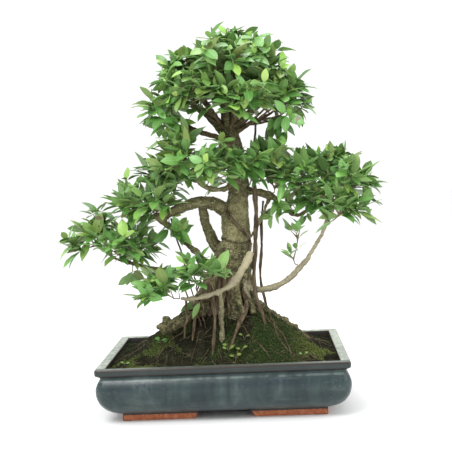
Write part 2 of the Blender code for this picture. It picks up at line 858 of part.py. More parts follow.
def make_branches(trunk):
    """The main branches, each cut clear of the trunk or branch that it grows from."""
    made = {}

    def branch(name, route, radii, cut_by=(trunk,), **shape):
        made[name] = Wood(name, route, radii, **shape).solid(cut_by)
        return made[name]

    left = branch(
        "branch_left",
        [
            (0.030, 0.000, 0.402),
            (-0.002, -0.006, 0.423),
            (-0.033, -0.010, 0.431),
            (-0.062, -0.014, 0.428),
            (-0.094, -0.014, 0.416),
            (-0.122, -0.012, 0.403),
            (-0.140, -0.010, 0.407),
        ],
        (0.019, 0.0150, 0.0135, 0.0120, 0.0110, 0.0100, 0.0070),
    )
    branch(
        "branch_left_inner",
        [
            (0.018, 0.012, 0.292),
            (-0.006, 0.020, 0.325),
            (-0.022, 0.022, 0.352),
            (-0.031, 0.018, 0.385),
            (-0.035, 0.002, 0.425),
        ],
        (0.013, 0.0125, 0.0120, 0.0110, 0.0105),
        (trunk, left),
    )
    branch(
        "prop_root_left",
        [
            (-0.126, -0.014, 0.400),
            (-0.102, -0.018, 0.380),
            (-0.082, -0.018, 0.357),
            (-0.058, -0.014, 0.333),
            (-0.028, -0.004, 0.300),
            (0.010, 0.002, 0.262),
        ],
        (0.0070, 0.0072, 0.0068, 0.0065, 0.0070, 0.0080),
        (trunk, left),
    )
    branch(
        "branch_low_left",
        [
            (0.006, 0.015, 0.268),
            (-0.045, 0.030, 0.272),
            (-0.100, 0.030, 0.281),
            (-0.158, 0.030, 0.291),
            (-0.195, 0.028, 0.302),
            (-0.227, 0.026, 0.312),
            (-0.248, 0.024, 0.328),
        ],
        (0.0075, 0.0065, 0.0060, 0.0055, 0.0050, 0.0042, 0.0034),
    )
    branch(
        "branch_low_front",
        [
            (0.066, -0.066, 0.326),
            (0.055, -0.072, 0.306),
            (0.040, -0.079, 0.284),
            (0.025, -0.085, 0.265),
            (0.004, -0.091, 0.252),
            (-0.022, -0.096, 0.244),
            (-0.050, -0.100, 0.238),
            (-0.082, -0.104, 0.240),
        ],
        (0.0080, 0.0082, 0.0076, 0.0068, 0.0060, 0.0050, 0.0038, 0.0028),
        (),
    )
    branch(
        "branch_low_right",
        [
            (0.026, -0.012, 0.252),
            (0.066, -0.028, 0.244),
            (0.095, -0.030, 0.243),
            (0.128, -0.030, 0.254),
            (0.162, -0.030, 0.281),
            (0.190, -0.030, 0.314),
            (0.213, -0.030, 0.350),
            (0.230, -0.030, 0.386),
            (0.248, -0.030, 0.420),
        ],
        (0.0085, 0.0078, 0.0072, 0.0070, 0.0064, 0.0056, 0.0050, 0.0042, 0.0034),
    )
    right = branch(
        "branch_right",
        [
            (0.046, 0.000, 0.450),
            (0.078, 0.000, 0.448),
            (0.104, 0.000, 0.441),
            (0.126, 0.000, 0.428),
            (0.146, 0.000, 0.405),
            (0.166, -0.002, 0.393),
            (0.187, -0.004, 0.404),
            (0.203, -0.006, 0.424),
            (0.222, -0.006, 0.440),
        ],
        (0.0105, 0.0088, 0.0080, 0.0076, 0.0072, 0.0066, 0.0058, 0.0048, 0.0036),
    )
    branch(
        "branch_back",
        [
            (0.040, 0.006, 0.430),
            (0.036, 0.050, 0.444),
            (0.028, 0.090, 0.452),
            (0.020, 0.122, 0.468),
        ],
        (0.0095, 0.0080, 0.0065, 0.0045),
    )
    branch(
        "branch_front_upper",
        [
            (0.044, 0.000, 0.474),
            (0.018, -0.030, 0.458),
            (-0.010, -0.046, 0.458),
            (-0.033, -0.055, 0.472),
            (-0.044, -0.060, 0.497),
        ],
        (0.0075, 0.0064, 0.0058, 0.0050, 0.0040),
    )
    crown = [trunk]
    for name, route, radii in CROWN_BRANCHES:
        crown.append(branch(name, route, radii, tuple(crown), per_span=3))
    branch(
        "prop_root_right",
        [
            (0.110, -0.001, 0.438),
            (0.099, -0.003, 0.412),
            (0.086, -0.006, 0.386),
            (0.070, -0.008, 0.358),
            (0.040, -0.010, 0.322),
        ],
        (0.0048, 0.0046, 0.0042, 0.0040, 0.0042),
        (trunk, right),
    )
    return made


def make_roots(trunk, branches):
    """Aerial roots that hang from the branches, and the two roots that lie on the mound."""
    made = []

    def root(name, route, radii, cut_by=(trunk,), bark=ROOT_BARK, **shape):
        piece = Wood(name, route, radii, bark=bark, **shape).solid(cut_by)
        made.append(piece)
        return piece

    long_outer = root(
        "aerial_root_long",
        [
            (0.087, -0.014, 0.598),
            (0.082, -0.022, 0.540),
            (0.079, -0.034, 0.473),
            (0.079, -0.044, 0.420),
            (0.077, -0.048, 0.368),
            (0.077, -0.050, 0.335),
            (0.070, -0.052, 0.301),
            (0.067, -0.054, 0.272),
            (0.073, -0.054, 0.240),
            into_soil(0.090, -0.050),
        ],
        (0.0022, 0.0038, 0.0052, 0.0056, 0.0058, 0.0066, 0.0062, 0.0060, 0.0056, 0.0050),
        (branches["branch_low_right"],),
    )
    root(
        "aerial_root_twin",
        [
            (0.095, 0.024, 0.428),
            (0.089, 0.010, 0.380),
            (0.088, 0.000, 0.335),
            (0.083, 0.008, 0.290),
            (0.084, 0.010, 0.245),
            into_soil(0.096, 0.006),
        ],
        (0.0026, 0.0034, 0.0038, 0.0036, 0.0036, 0.0036),
        (branches["branch_right"], branches["branch_low_right"], long_outer, trunk),
        sides=6,
    )
    root(
        "aerial_root_front",
        [
            (-0.001, -0.092, 0.243),
            (0.000, -0.088, 0.220),
            (-0.001, -0.086, 0.195),
            into_soil(-0.002, -0.088),
        ],
        (0.0062, 0.0058, 0.0056, 0.0050),
        (branches["branch_low_front"], trunk),
        bark=BARK,
    )
    root(
        "aerial_root_front_left",
        [
            (-0.018, -0.078, 0.262),
            (-0.016, -0.088, 0.225),
            (-0.013, -0.097, 0.190),
            into_soil(-0.024, -0.112),
        ],
        (0.0040, 0.0042, 0.0040, 0.0034),
        (branches["branch_low_front"], trunk),
        sides=6,
    )
    root(
        "aerial_root_front_right",
        [
            (0.046, -0.028, 0.244),
            (0.052, -0.054, 0.212),
            (0.036, -0.074, 0.182),
            into_soil(0.004, -0.106),
        ],
        (0.0070, 0.0060, 0.0052, 0.0036),
        (trunk, branches["branch_low_right"]),
    )
    root(
        "aerial_root_left",
        [
            (-0.046, -0.094, 0.233),
            (-0.049, -0.084, 0.214),
            (-0.056, -0.078, 0.195),
            into_soil(-0.064, -0.078),
        ],
        (0.0038, 0.0038, 0.0036, 0.0030),
        (branches["branch_low_front"],),
        sides=6,
    )
    root(
        "surface_root_left",
        [
            (0.002, -0.016, 0.204),
            near_soil(-0.026, -0.036, 0.004),
            near_soil(-0.053, -0.044, 0.006),
            near_soil(-0.081, -0.045, 0.010),
            near_soil(-0.104, -0.044, 0.014),
            near_soil(-0.124, -0.041, 0.015),
            near_soil(-0.134, -0.040, 0.013),
        ],
        (0.014, 0.0115, 0.0110, 0.0120, 0.0140, 0.0150, 0.0110),
        bark=BARK,
        sides=10,
        flutes=0.05,
    )
    root(
        "surface_root_right",
        [
            (0.036, -0.010, 0.214),
            near_soil(0.066, -0.012, 0.002),
            near_soil(0.088, -0.012, 0.003),
            near_soil(0.114, -0.012, 0.003),
            near_soil(0.140, -0.012, 0.002),
            near_soil(0.162, -0.012, 0.001),
            near_soil(0.186, -0.012, -0.008),
        ],
        (0.012, 0.0085, 0.0070, 0.0060, 0.0050, 0.0042, 0.0030),
        (trunk, long_outer, made[1]),
        bark=BARK,
    )
    return made


def make_sprays(trunk, branches):
    """Where each leafy shoot grows: parent, share of the way along it, and the twig's tip."""
    plan = (
        ("crown_spray_left_low", "crown_branch_left", 1.0, (-0.090, -0.024, 0.634), 3, 1.0),
        ("crown_spray_left_top", "crown_branch_left", 0.84, (-0.072, 0.022, 0.700), 3, 1.0),
        ("crown_spray_left_front", "crown_branch_left", 0.60, (-0.046, -0.086, 0.650), 3, 1.0),
        ("crown_spray_front", "crown_branch_front", 0.66, (0.058, -0.108, 0.640), 3, 1.0),
        ("crown_spray_front_top", "crown_branch_front", 1.0, (0.018, -0.086, 0.716), 3, 1.0),
        ("crown_spray_top", "crown_branch_top", 1.0, (0.046, 0.000, 0.750), 4, 1.0),
        ("crown_spray_right_low", "crown_branch_right", 1.0, (0.158, -0.012, 0.628), 4, 1.0),
        ("crown_spray_right_top", "crown_branch_right", 0.84, (0.116, -0.030, 0.702), 3, 1.0),
        ("crown_spray_right_back", "crown_branch_right", 0.60, (0.110, 0.078, 0.670), 3, 1.0),
        ("crown_spray_back", "crown_branch_back", 1.0, (0.010, 0.108, 0.690), 4, 1.0),
        ("left_spray_tip", "branch_left", 1.0, (-0.200, -0.028, 0.428), 4, 1.0),
        ("left_spray_front", "branch_left", 0.84, (-0.152, -0.084, 0.446), 3, 1.0),
        ("left_spray_inner", "branch_left", 0.62, (-0.088, -0.056, 0.492), 3, 1.0),
        ("left_spray_back", "branch_left", 0.76, (-0.124, 0.066, 0.484), 3, 1.0),
        ("middle_spray_left", "branch_front_upper", 1.0, (-0.076, -0.080, 0.530), 4, 1.0),
        ("middle_spray_front", "branch_front_upper", 0.66, (-0.010, -0.118, 0.506), 3, 1.0),
        ("middle_spray_right", "trunk", 0.80, (0.042, -0.090, 0.512), 3, 1.0),
        ("right_spray_inner", "branch_right", 0.30, (0.100, -0.046, 0.510), 3, 1.0),
        ("right_spray_front", "branch_right", 0.62, (0.168, -0.078, 0.470), 3, 1.0),
        ("right_spray_top", "branch_right", 1.0, (0.236, -0.014, 0.500), 4, 1.0),
        ("right_spray_back", "branch_right", 0.84, (0.196, 0.060, 0.490), 3, 1.0),
        ("right_spray_tip", "branch_low_right", 1.0, (0.296, -0.038, 0.462), 4, 1.0),
        ("right_spray_hanging", "branch_low_right", 0.86, (0.262, -0.086, 0.410), 2, 1.0),
        ("low_left_spray_tip", "branch_low_left", 1.0, (-0.286, 0.014, 0.362), 4, 0.95),
        ("low_left_spray_front", "branch_low_left", 0.78, (-0.218, -0.040, 0.340), 3, 0.95),
        ("low_left_spray_back", "branch_low_left", 0.70, (-0.190, 0.078, 0.350), 3, 0.95),
        ("front_spray_tip", "branch_low_front", 1.0, (-0.124, -0.114, 0.268), 3, 0.95),
        ("right_twig", "branch_low_right", 0.52, (0.170, -0.036, 0.372), 3, 0.55),
        ("front_spray_inner", "branch_low_front", 0.66, (-0.030, -0.124, 0.296), 3, 0.95),
        ("back_spray", "branch_back", 1.0, (0.020, 0.172, 0.494), 4, 1.0),
    )
    sprays = []
    for name, parent, share, tip, shoots, scale in plan:
        wood = trunk if parent == "trunk" else branches[parent]
        sprays.append(Spray(name, wood, share, tip, shoots, scale))
    return sprays


def centre_on_footprint(pieces):
    """Moves the whole model so that the origin is under the middle of its bounding box."""
    graph = bpy.context.evaluated_depsgraph_get()
    corners = []
    for piece in pieces:
        corners += [piece.matrix_world @ Vector(c) for c in piece.evaluated_get(graph).bound_box]
    shift = Vector((0, 0, 0))
    for axis in (0, 1):
        shift[axis] = -(min(c[axis] for c in corners) + max(c[axis] for c in corners)) / 2
    for made in bpy.context.scene.objects:
        made.location = made.location + shift


def main():
    make_pot()
    pockets = [
        make_drainage_mesh("drainage_mesh_left", -DRAIN_SPACING / 2),
        make_drainage_mesh("drainage_mesh_right", DRAIN_SPACING / 2),
    ]
    trunk = make_trunk()
    branches = make_branches(trunk)
    roots = make_roots(trunk, branches)

    below_ground = bpy.data.collections.new("below_ground")
    bpy.context.scene.collection.children.link(below_ground)
    for cutter in pockets + [piece.clearance for piece in [trunk] + roots]:
        bpy.context.scene.collection.objects.unlink(cutter)
        below_ground.objects.link(cutter)

    make_soil(below_ground)
    above_soil = as_cutter(soil_block("above_soil", FIT_GAP))
    make_moss("moss_left", (-0.296, -0.264), (0.138, 0.133), 0.5, above_soil, below_ground)
    make_moss("moss_right", (0.257, -0.222), (0.162, 0.167), 1.7, above_soil, below_ground)

    sprays = make_sprays(trunk, branches)
    for spray in sprays:
        spray.add_leaves()
    for spray in sprays:
        spray.solid()

    bpy.context.view_layer.update()
    centre_on_footprint([o for o in bpy.context.scene.objects if not o.hide_render])


main()
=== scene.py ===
"""A fig bonsai with aerial roots in a blue-green glazed tray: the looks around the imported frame."""

import math
import random

import bmesh
import bpy
import numpy as np
from mathutils import Matrix, Quaternion, Vector, noise
from mathutils.bvhtree import BVHTree
from mathutils.kdtree import KDTree


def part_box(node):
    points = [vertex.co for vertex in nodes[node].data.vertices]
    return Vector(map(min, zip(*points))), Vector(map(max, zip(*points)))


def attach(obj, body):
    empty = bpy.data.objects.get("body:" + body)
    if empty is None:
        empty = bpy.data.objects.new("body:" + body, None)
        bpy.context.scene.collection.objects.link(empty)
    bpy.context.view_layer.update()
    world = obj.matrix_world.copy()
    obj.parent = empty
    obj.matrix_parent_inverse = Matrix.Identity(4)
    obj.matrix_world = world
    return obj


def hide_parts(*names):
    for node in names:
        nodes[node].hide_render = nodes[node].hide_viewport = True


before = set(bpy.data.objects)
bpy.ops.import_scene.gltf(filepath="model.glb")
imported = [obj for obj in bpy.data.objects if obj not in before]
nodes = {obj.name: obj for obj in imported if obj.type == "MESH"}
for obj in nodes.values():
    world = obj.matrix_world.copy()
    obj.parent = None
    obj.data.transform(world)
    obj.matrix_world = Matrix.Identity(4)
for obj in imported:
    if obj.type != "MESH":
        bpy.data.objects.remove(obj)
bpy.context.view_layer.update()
shuffle = random.Random(7)

POT_LOW, POT_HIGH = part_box("pot")
POT_CENTRE = Vector(((POT_LOW.x + POT_HIGH.x) / 2, (POT_LOW.y + POT_HIGH.y) / 2, 0))
RIM_Z = POT_HIGH.z
BASE_Z = 0.0165  # the glazed underside, above the feet
SOIL_EDGE_Z = RIM_Z - 0.010
TRUNK_LOW, TRUNK_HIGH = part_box("trunk")
CREASE_Z = TRUNK_HIGH.z * 0.585  # the old cut that rings the trunk

# ------------------------------------------------------------------ camera, lights and floor


def add_camera():
    """A long lens at table height, a little right of the tray's middle and looking slightly down."""
    lens = bpy.data.cameras.new("camera")
    lens.lens = 70.9
    lens.sensor_width = 36
    camera = bpy.data.objects.new("camera", lens)
    right = Vector((0.99814, 0.04049, -0.04553))
    up = Vector((0.04276, 0.06684, 0.99685))
    back = Vector((0.04340, -0.99694, 0.06498))
    turn = Matrix((right, up, back)).transposed().to_4x4()
    camera.matrix_world = Matrix.Translation(POT_CENTRE + Vector((0.096, -1.896, 0.501))) @ turn
    bpy.context.scene.collection.objects.link(camera)
    bpy.context.scene.camera = camera


def add_light(name, place, aim, size, power, colour=(1, 1, 1)):
    lamp = bpy.data.lights.new(name, "AREA")
    lamp.energy = power
    lamp.size = size
    lamp.color = colour
    light = bpy.data.objects.new(name, lamp)
    light.location = place
    light.rotation_euler = (Vector(aim) - Vector(place)).to_track_quat("-Z", "Y").to_euler()
    bpy.context.scene.collection.objects.link(light)


def light_studio():
    world = bpy.data.worlds.new("studio")
    world.use_nodes = True
    background = world.node_tree.nodes["Background"]
    background.inputs["Color"].default_value = (1, 1, 1, 1)
    background.inputs["Strength"].default_value = 1.07
    bpy.context.scene.world = world
    bpy.context.scene.view_settings.view_transform = "Standard"
    middle = (0, 0, 0.4)
    add_light("key_softbox", (-0.9, -1.7, 2.1), middle, 1.1, 42)
    add_light("fill_softbox", (1.9, -1.2, 1.3), middle, 1.4, 14)
    add_light("top_softbox", (0.2, 0.4, 2.4), middle, 1.2, 22)


# ------------------------------------------------------------------ small modelling helpers


def only(obj):
    """Selects this object alone."""
    bpy.ops.object.select_all(action="DESELECT")
    obj.select_set(True)
    bpy.context.view_layer.objects.active = obj


def in_edit(obj):
    only(obj)
    bpy.ops.object.mode_set(mode="EDIT")


def leave_edit():
    bpy.ops.object.mode_set(mode="OBJECT")


def pick(obj, test, kind="VERT"):
    """In edit mode, selects what passes the test by its place."""
    bpy.ops.mesh.select_mode(type=kind)
    bpy.ops.mesh.select_all(action="DESELECT")
    bm = bmesh.from_edit_mesh(obj.data)
    for part in {"VERT": bm.verts, "EDGE": bm.edges, "FACE": bm.faces}[kind]:
        part.select_set(bool(test(part)))
    bm.select_flush_mode()
    bmesh.update_edit_mesh(obj.data)


def modify(obj, kind, **settings):
    """Adds a modifier, sets it and applies it."""
    only(obj)
    modifier = obj.modifiers.new(kind.lower(), kind)
    for name, value in settings.items():
        setattr(modifier, name, value)
    bpy.ops.object.modifier_apply(modifier=modifier.name)


def settle(obj):
    """Puts the object's place, turn and size into its mesh."""
    only(obj)
    bpy.ops.object.transform_apply(location=True, rotation=True, scale=True)


def join(name, parts):
    """Joins the objects into one of this name."""
    bpy.ops.object.select_all(action="DESELECT")
    for part in parts:
        part.select_set(True)
    bpy.context.view_layer.objects.active = parts[0]
    if len(parts) > 1:
        bpy.ops.object.join()
    whole = bpy.context.view_layer.objects.active
    whole.name = name
    whole.data.name = name
    return whole


def own_copy(obj, name):
    """A copy with its own mesh, its doubles merged."""
    mesh = obj.data.copy()
    made = bpy.data.objects.new(name, mesh)
    bpy.context.scene.collection.objects.link(made)
    mesh.materials.clear()
    in_edit(made)
    bpy.ops.mesh.select_all(action="SELECT")
    bpy.ops.mesh.remove_doubles(threshold=0.00002)
    leave_edit()
    return made


def drop(*objects):
    for obj in objects:
        bpy.data.objects.remove(obj)


def texture(name, size, depth=2, kind="CLOUDS"):
    made = bpy.data.textures.new(name, kind)
    made.noise_scale = size
    if kind == "CLOUDS":
        made.noise_depth = depth
    return made


def set_values(obj, name, values):
    """Writes one number per point, for the material to read."""
    layer = obj.data.attributes.get(name) or obj.data.attributes.new(name, "FLOAT", "POINT")
    layer.data.foreach_set("value", np.asarray(values, np.float32))


def points_of(obj):
    co = np.empty(len(obj.data.vertices) * 3, np.float32)
    obj.data.vertices.foreach_get("co", co)
    return co.reshape(-1, 3).astype(float)


def put_points(obj, points):
    obj.data.vertices.foreach_set("co", np.asarray(points, np.float32).ravel())
    obj.data.update()


def tree_of(obj):
    mesh = obj.data
    return BVHTree.FromPolygons([v.co for v in mesh.vertices], [p.vertices for p in mesh.polygons])


def labelled_tree(parts, labels):
    """One search tree over all the parts, and the label of each of its faces."""
    points, faces, shares = [], [], []
    for part, label in zip(parts, labels):
        first = len(points)
        points += [v.co.copy() for v in part.data.vertices]
        faces += [[first + v for v in p.vertices] for p in part.data.polygons]
        shares += [label] * len(part.data.polygons)
    return BVHTree.FromPolygons(points, faces), shares


def smooth(obj, angle=60):
    only(obj)
    bpy.ops.object.shade_smooth_by_angle(angle=math.radians(angle))


# ------------------------------------------------------------------ materials


class Signal:
    """A value in a material. Arithmetic on signals adds the Math nodes that work it out."""

    def __init__(self, paint, socket):
        self.paint, self.socket = paint, socket

    def math(self, operation, other=0.5, swapped=False):
        pair = (other, self) if swapped else (self, other)
        return self.paint.node(
            "ShaderNodeMath", {0: pair[0], 1: pair[1]}, operation=operation
        )

    def __add__(self, other):
        return self.math("ADD", other)

    def __sub__(self, other):
        return self.math("SUBTRACT", other)

    def __mul__(self, other):
        return self.math("MULTIPLY", other)

    def __truediv__(self, other):
        return self.math("DIVIDE", other)

    def __rsub__(self, other):
        return self.math("SUBTRACT", other, swapped=True)

    __radd__, __rmul__ = __add__, __mul__

    def power(self, other):
        return self.math("POWER", other)

    def size(self):
        return self.math("ABSOLUTE")

    def step(self, low, high):
        """0 below low, 1 above high, smooth between."""
        return self.paint.node(
            "ShaderNodeMapRange",
            {"Value": self, 1: low, 2: high},
            interpolation_type="SMOOTHSTEP",
        )


class Paint:
    """A material in the making."""

    def __init__(self, name, **constants):
        self.material = bpy.data.materials.new(name)
        self.material.use_nodes = True
        self.tree = self.material.node_tree
        self.shader = self.tree.nodes["Principled BSDF"]
        for socket, value in constants.items():
            self.shader.inputs[socket.replace("_", " ")].default_value = value

    def node(self, kind, inputs=None, out=0, **settings):
        made = self.tree.nodes.new(kind)
        stops = settings.pop("stops", None)
        for name, value in settings.items():
            setattr(made, name, value)
        if stops:
            ramp = made.color_ramp
            while len(ramp.elements) < len(stops):
                ramp.elements.new(0.5)
            for element, (place, colour) in zip(ramp.elements, stops):
                element.position = place
                element.color = (*colour, 1)
        for key, value in (inputs or {}).items():
            if isinstance(value, Signal):
                self.tree.links.new(value.socket, made.inputs[key])
            else:
                made.inputs[key].default_value = value
        return Signal(self, made.outputs[out])

    def place(self, scale=(1, 1, 1), turn=(0, 0, 0)):
        """The point on the object, stretched and turned for a pattern."""
        point = self.node("ShaderNodeTexCoord", out="Object")
        return self.node("ShaderNodeMapping", {"Vector": point, "Scale": scale, "Rotation": turn})

    def axis(self, name):
        point = self.node("ShaderNodeTexCoord", out="Object")
        return self.node("ShaderNodeSeparateXYZ", {0: point}, out=name)

    def noise(self, scale, detail=4.0, roughness=0.55, stretch=(1, 1, 1), turn=(0, 0, 0), warp=0.0):
        return self.node(
            "ShaderNodeTexNoise",
            {
                "Vector": self.place(stretch, turn),
                "Scale": scale,
                "Detail": detail,
                "Roughness": roughness,
                "Distortion": warp,
            },
        )

    def cells(self, scale, out="Distance", feature="F1", stretch=(1, 1, 1)):
        return self.node(
            "ShaderNodeTexVoronoi",
            {"Vector": self.place(stretch), "Scale": scale},
            out=out,
            feature=feature,
        )

    def value(self, name):
        return self.node("ShaderNodeAttribute", out="Fac", attribute_name=name)

    def mix(self, share, first, second, blend="MIX"):
        """Between two colours by the share."""
        inputs = {0: share, 6: self.colour(first), 7: self.colour(second)}
        return self.node("ShaderNodeMix", inputs, out=2, data_type="RGBA", blend_type=blend)

    def colour(self, given):
        return given if isinstance(given, Signal) else (*given, 1)

    def ramp(self, share, *stops):
        return self.node("ShaderNodeValToRGB", {0: share}, stops=stops)

    def bump(self, height, strength, distance=0.001):
        return self.node(
            "ShaderNodeBump", {"Height": height, "Strength": strength, "Distance": distance}
        )

    def finish(self, **links):
        for socket, signal in links.items():
            self.tree.links.new(signal.socket, self.shader.inputs[socket.replace("_", " ")])
        return self.material


def leaf_paint(name="fig_leaf"):
    """Glossy fig leaf: dark when old, yellow-green when young, with a pale midrib and dull underside."""
    paint = Paint(name, Coat_Weight=0.22, Coat_Roughness=0.22)
    across = paint.node("ShaderNodeUVMap", uv_map="leaf")
    u = paint.node("ShaderNodeSeparateXYZ", {0: across}, out="X")
    v = paint.node("ShaderNodeSeparateXYZ", {0: across}, out="Y")
    tone = paint.value("tone")
    under = paint.value("underside").step(0.35, 0.65)
    cast = paint.value("cast")
    top = paint.ramp(
        tone,
        (0.0, (0.058, 0.172, 0.030)),
        (0.35, (0.094, 0.256, 0.048)),
        (0.65, (0.150, 0.370, 0.078)),
        (0.85, (0.240, 0.490, 0.086)),
        (1.0, (0.340, 0.590, 0.105)),
    )
    below = paint.mix(0.55, top, (0.210, 0.330, 0.120))
    mottle = paint.noise(160, detail=3)
    off_centre = (u - 0.5).size()
    rib = 1 - off_centre.step(0.012, 0.05)
    slant = (v * 9.0 - off_centre * 9.0).math("FRACT")
    veins = (1 - (slant - 0.5).size().step(0.0, 0.16)) * off_centre.step(0.03, 0.12)
    base = paint.mix(under, top, below)
    base = paint.mix(mottle.step(0.35, 0.75) * 0.22, base, (0.046, 0.135, 0.026))
    base = paint.mix(cast * 0.45, base, (0.30, 0.27, 0.07))
    base = paint.mix(veins * 0.12, base, (0.26, 0.42, 0.15))
    base = paint.mix(rib * 0.50, base, (0.30, 0.46, 0.17))
    blemish = paint.value("spot") * paint.noise(70, detail=2).step(0.56, 0.64)
    base = paint.mix(blemish * 0.8, base, (0.12, 0.055, 0.040))
    relief = rib * 0.8 + veins * 0.35 + mottle * 0.25
    rough = 0.34 + mottle * 0.12 + under * 0.22
    return paint.finish(
        Base_Color=base, Roughness=rough, Normal=paint.bump(relief, 0.35, 0.0006)
    )


def shoot_paint():
    """Young twigs: green-brown with a reddish tinge and tiny pale spots."""
    paint = Paint("young_shoot")
    patch = paint.noise(60, detail=3)
    spots = 1 - paint.cells(900).step(0.10, 0.22)
    base = paint.ramp(
        patch, (0.3, (0.10, 0.065, 0.035)), (0.55, (0.16, 0.12, 0.06)), (0.75, (0.17, 0.19, 0.08))
    )
    base = paint.mix(spots * 0.4, base, (0.42, 0.38, 0.27))
    return paint.finish(
        Base_Color=base,
        Roughness=0.55 + patch * 0.2,
        Normal=paint.bump(patch + spots, 0.4, 0.0004),
    )


def twig_paint():
    """Crown limbs: warm brown, ringed with leaf scars."""
    paint = Paint("brown_twigs", Specular_IOR_Level=0.2)
    rough = paint.noise(110, detail=5, roughness=0.7)
    scars = paint.noise(60, detail=2, stretch=(0.6, 0.6, 2.4))
    base = paint.ramp(
        rough, (0.32, (0.060, 0.042, 0.022)), (0.50, (0.140, 0.104, 0.058)), (0.68, (0.260, 0.205, 0.125))
    )
    base = paint.mix(scars.step(0.56, 0.64) * 0.5, base, (0.045, 0.032, 0.018))
    return paint.finish(
        Base_Color=base, Roughness=0.7 + rough * 0.2, Normal=paint.bump(rough + scars, 0.6, 0.0010)
    )


def bark_paint():
    """Pale grey-tan fig bark with light specks and faint rings, and painted shade in crevices, crotches, undersides
    and the crease.
    """
    paint = Paint("pale_bark", Specular_IOR_Level=0.2)
    old = paint.value("old")
    low = paint.value("low")
    broad = paint.noise(14, detail=5, roughness=0.6)
    scabs = paint.noise(72, detail=5, roughness=0.7, warp=0.8)
    crackle = 1 - paint.cells(150, feature="DISTANCE_TO_EDGE", stretch=(1, 1, 1.5)).step(0.0, 0.10)
    fine = paint.noise(120, detail=5, roughness=0.65)
    rings = paint.noise(42, detail=4, stretch=(0.7, 0.7, 1.9), warp=1.2)
    specks = 1 - paint.cells(170, stretch=(1, 1, 1.4)).step(0.12, 0.34)
    grain = paint.noise(300, detail=2)
    painted_shade = paint.value("painted_shade")
    base = paint.ramp(
        broad,
        (0.28, (0.052, 0.046, 0.021)),
        (0.44, (0.116, 0.107, 0.048)),
        (0.58, (0.206, 0.192, 0.090)),
        (0.74, (0.330, 0.310, 0.160)),
    )
    base = paint.mix(fine.step(0.46, 0.62) * 0.55, base, (0.062, 0.054, 0.030))
    base = paint.mix(rings.step(0.54, 0.66) * 0.28, base, (0.40, 0.38, 0.26))
    base = paint.mix(crackle * fine.step(0.40, 0.60) * 0.45, base, (0.050, 0.042, 0.022))
    base = paint.mix(low * scabs.step(0.47, 0.56) * 0.80, base, (0.040, 0.038, 0.018))
    base = paint.mix(low * (1 - scabs).step(0.55, 0.63) * 0.6, base, (0.185, 0.178, 0.075))
    base = paint.mix(specks * 0.6, base, (0.50, 0.48, 0.31))
    grains = 1 - paint.cells(340).step(0.10, 0.26)
    base = paint.mix(grains * 0.35, base, (0.40, 0.38, 0.24))
    base = paint.mix(old * 0.60, base, (0.50, 0.45, 0.31))
    # painted shade: darkens crevices, crotches, undersides and the crease
    base = paint.mix(painted_shade * 0.8, base, (0.030, 0.022, 0.013))
    relief = broad * 0.6 + fine * 0.5 + rings * 0.7 + grain * 0.2 + specks * 0.4 + scabs * low
    return paint.finish(
        Base_Color=base,
        Roughness=0.72 + fine * 0.2,
        Normal=paint.bump(relief, 0.80, 0.0014),
    )


def root_paint():
    """Aerial roots: dark reddish brown, stringy along their length."""
    paint = Paint("root_bark", Specular_IOR_Level=0.15)
    strings = paint.noise(160, detail=4, stretch=(1, 1, 0.22))
    patch = paint.noise(30, detail=3)
    base = paint.ramp(
        strings,
        (0.30, (0.034, 0.023, 0.014)),
        (0.50, (0.092, 0.065, 0.040)),
        (0.72, (0.190, 0.142, 0.092)),
    )
    base = paint.mix(patch.step(0.5, 0.7) * 0.40, base, (0.210, 0.165, 0.105))
    return paint.finish(
        Base_Color=base,
        Roughness=0.75 + strings * 0.15,
        Normal=paint.bump(strings, 0.6, 0.0009),
    )


def thread_paint():
    """Dry rootlets and straw, pale tan with darker joints."""
    paint = Paint("dry_threads", Specular_IOR_Level=0.2)
    joints = paint.noise(130, detail=3)
    base = paint.ramp(
        joints, (0.35, (0.040, 0.032, 0.018)), (0.52, (0.120, 0.098, 0.055)), (0.70, (0.270, 0.235, 0.135))
    )
    return paint.finish(
        Base_Color=base, Roughness=0.8 + joints * 0.1, Normal=paint.bump(joints, 0.3, 0.0003)
    )


def soil_paint():
    """Dark damp soil, with moss where the moss value is high."""
    paint = Paint("dark_soil", Specular_IOR_Level=0.1)
    moss = paint.value("moss")
    crumbs = paint.cells(420)
    broad = paint.noise(45, detail=5, roughness=0.65)
    fine = paint.noise(420, detail=4, roughness=0.7)
    pale = 1 - paint.cells(520, stretch=(1, 1.2, 1)).step(0.06, 0.14)
    earth = paint.ramp(
        broad * 0.5 + fine * 0.5,
        (0.38, (0.005, 0.006, 0.003)),
        (0.50, (0.015, 0.015, 0.008)),
        (0.64, (0.048, 0.044, 0.025)),
    )
    earth = paint.mix(pale * 0.5, earth, (0.17, 0.14, 0.095))
    green = paint.ramp(
        fine,
        (0.34, (0.005, 0.009, 0.003)),
        (0.51, (0.016, 0.028, 0.008)),
        (0.68, (0.072, 0.106, 0.026)),
    )
    # painted light: brighter, yellower moss at the left front and on the right flank
    green = paint.mix(paint.value("painted_light") * fine.step(0.40, 0.60) * 0.8, green, (0.150, 0.180, 0.045))
    edge = moss + (broad - 0.5) * 1.1 + (fine - 0.5) * 1.2
    base = paint.mix(edge.step(0.40, 0.66), earth, green)
    relief = fine * 0.8 + crumbs * 0.6 + broad * 0.5
    return paint.finish(
        Base_Color=base, Roughness=0.88 + fine * 0.1, Normal=paint.bump(relief, 0.9, 0.002)
    )


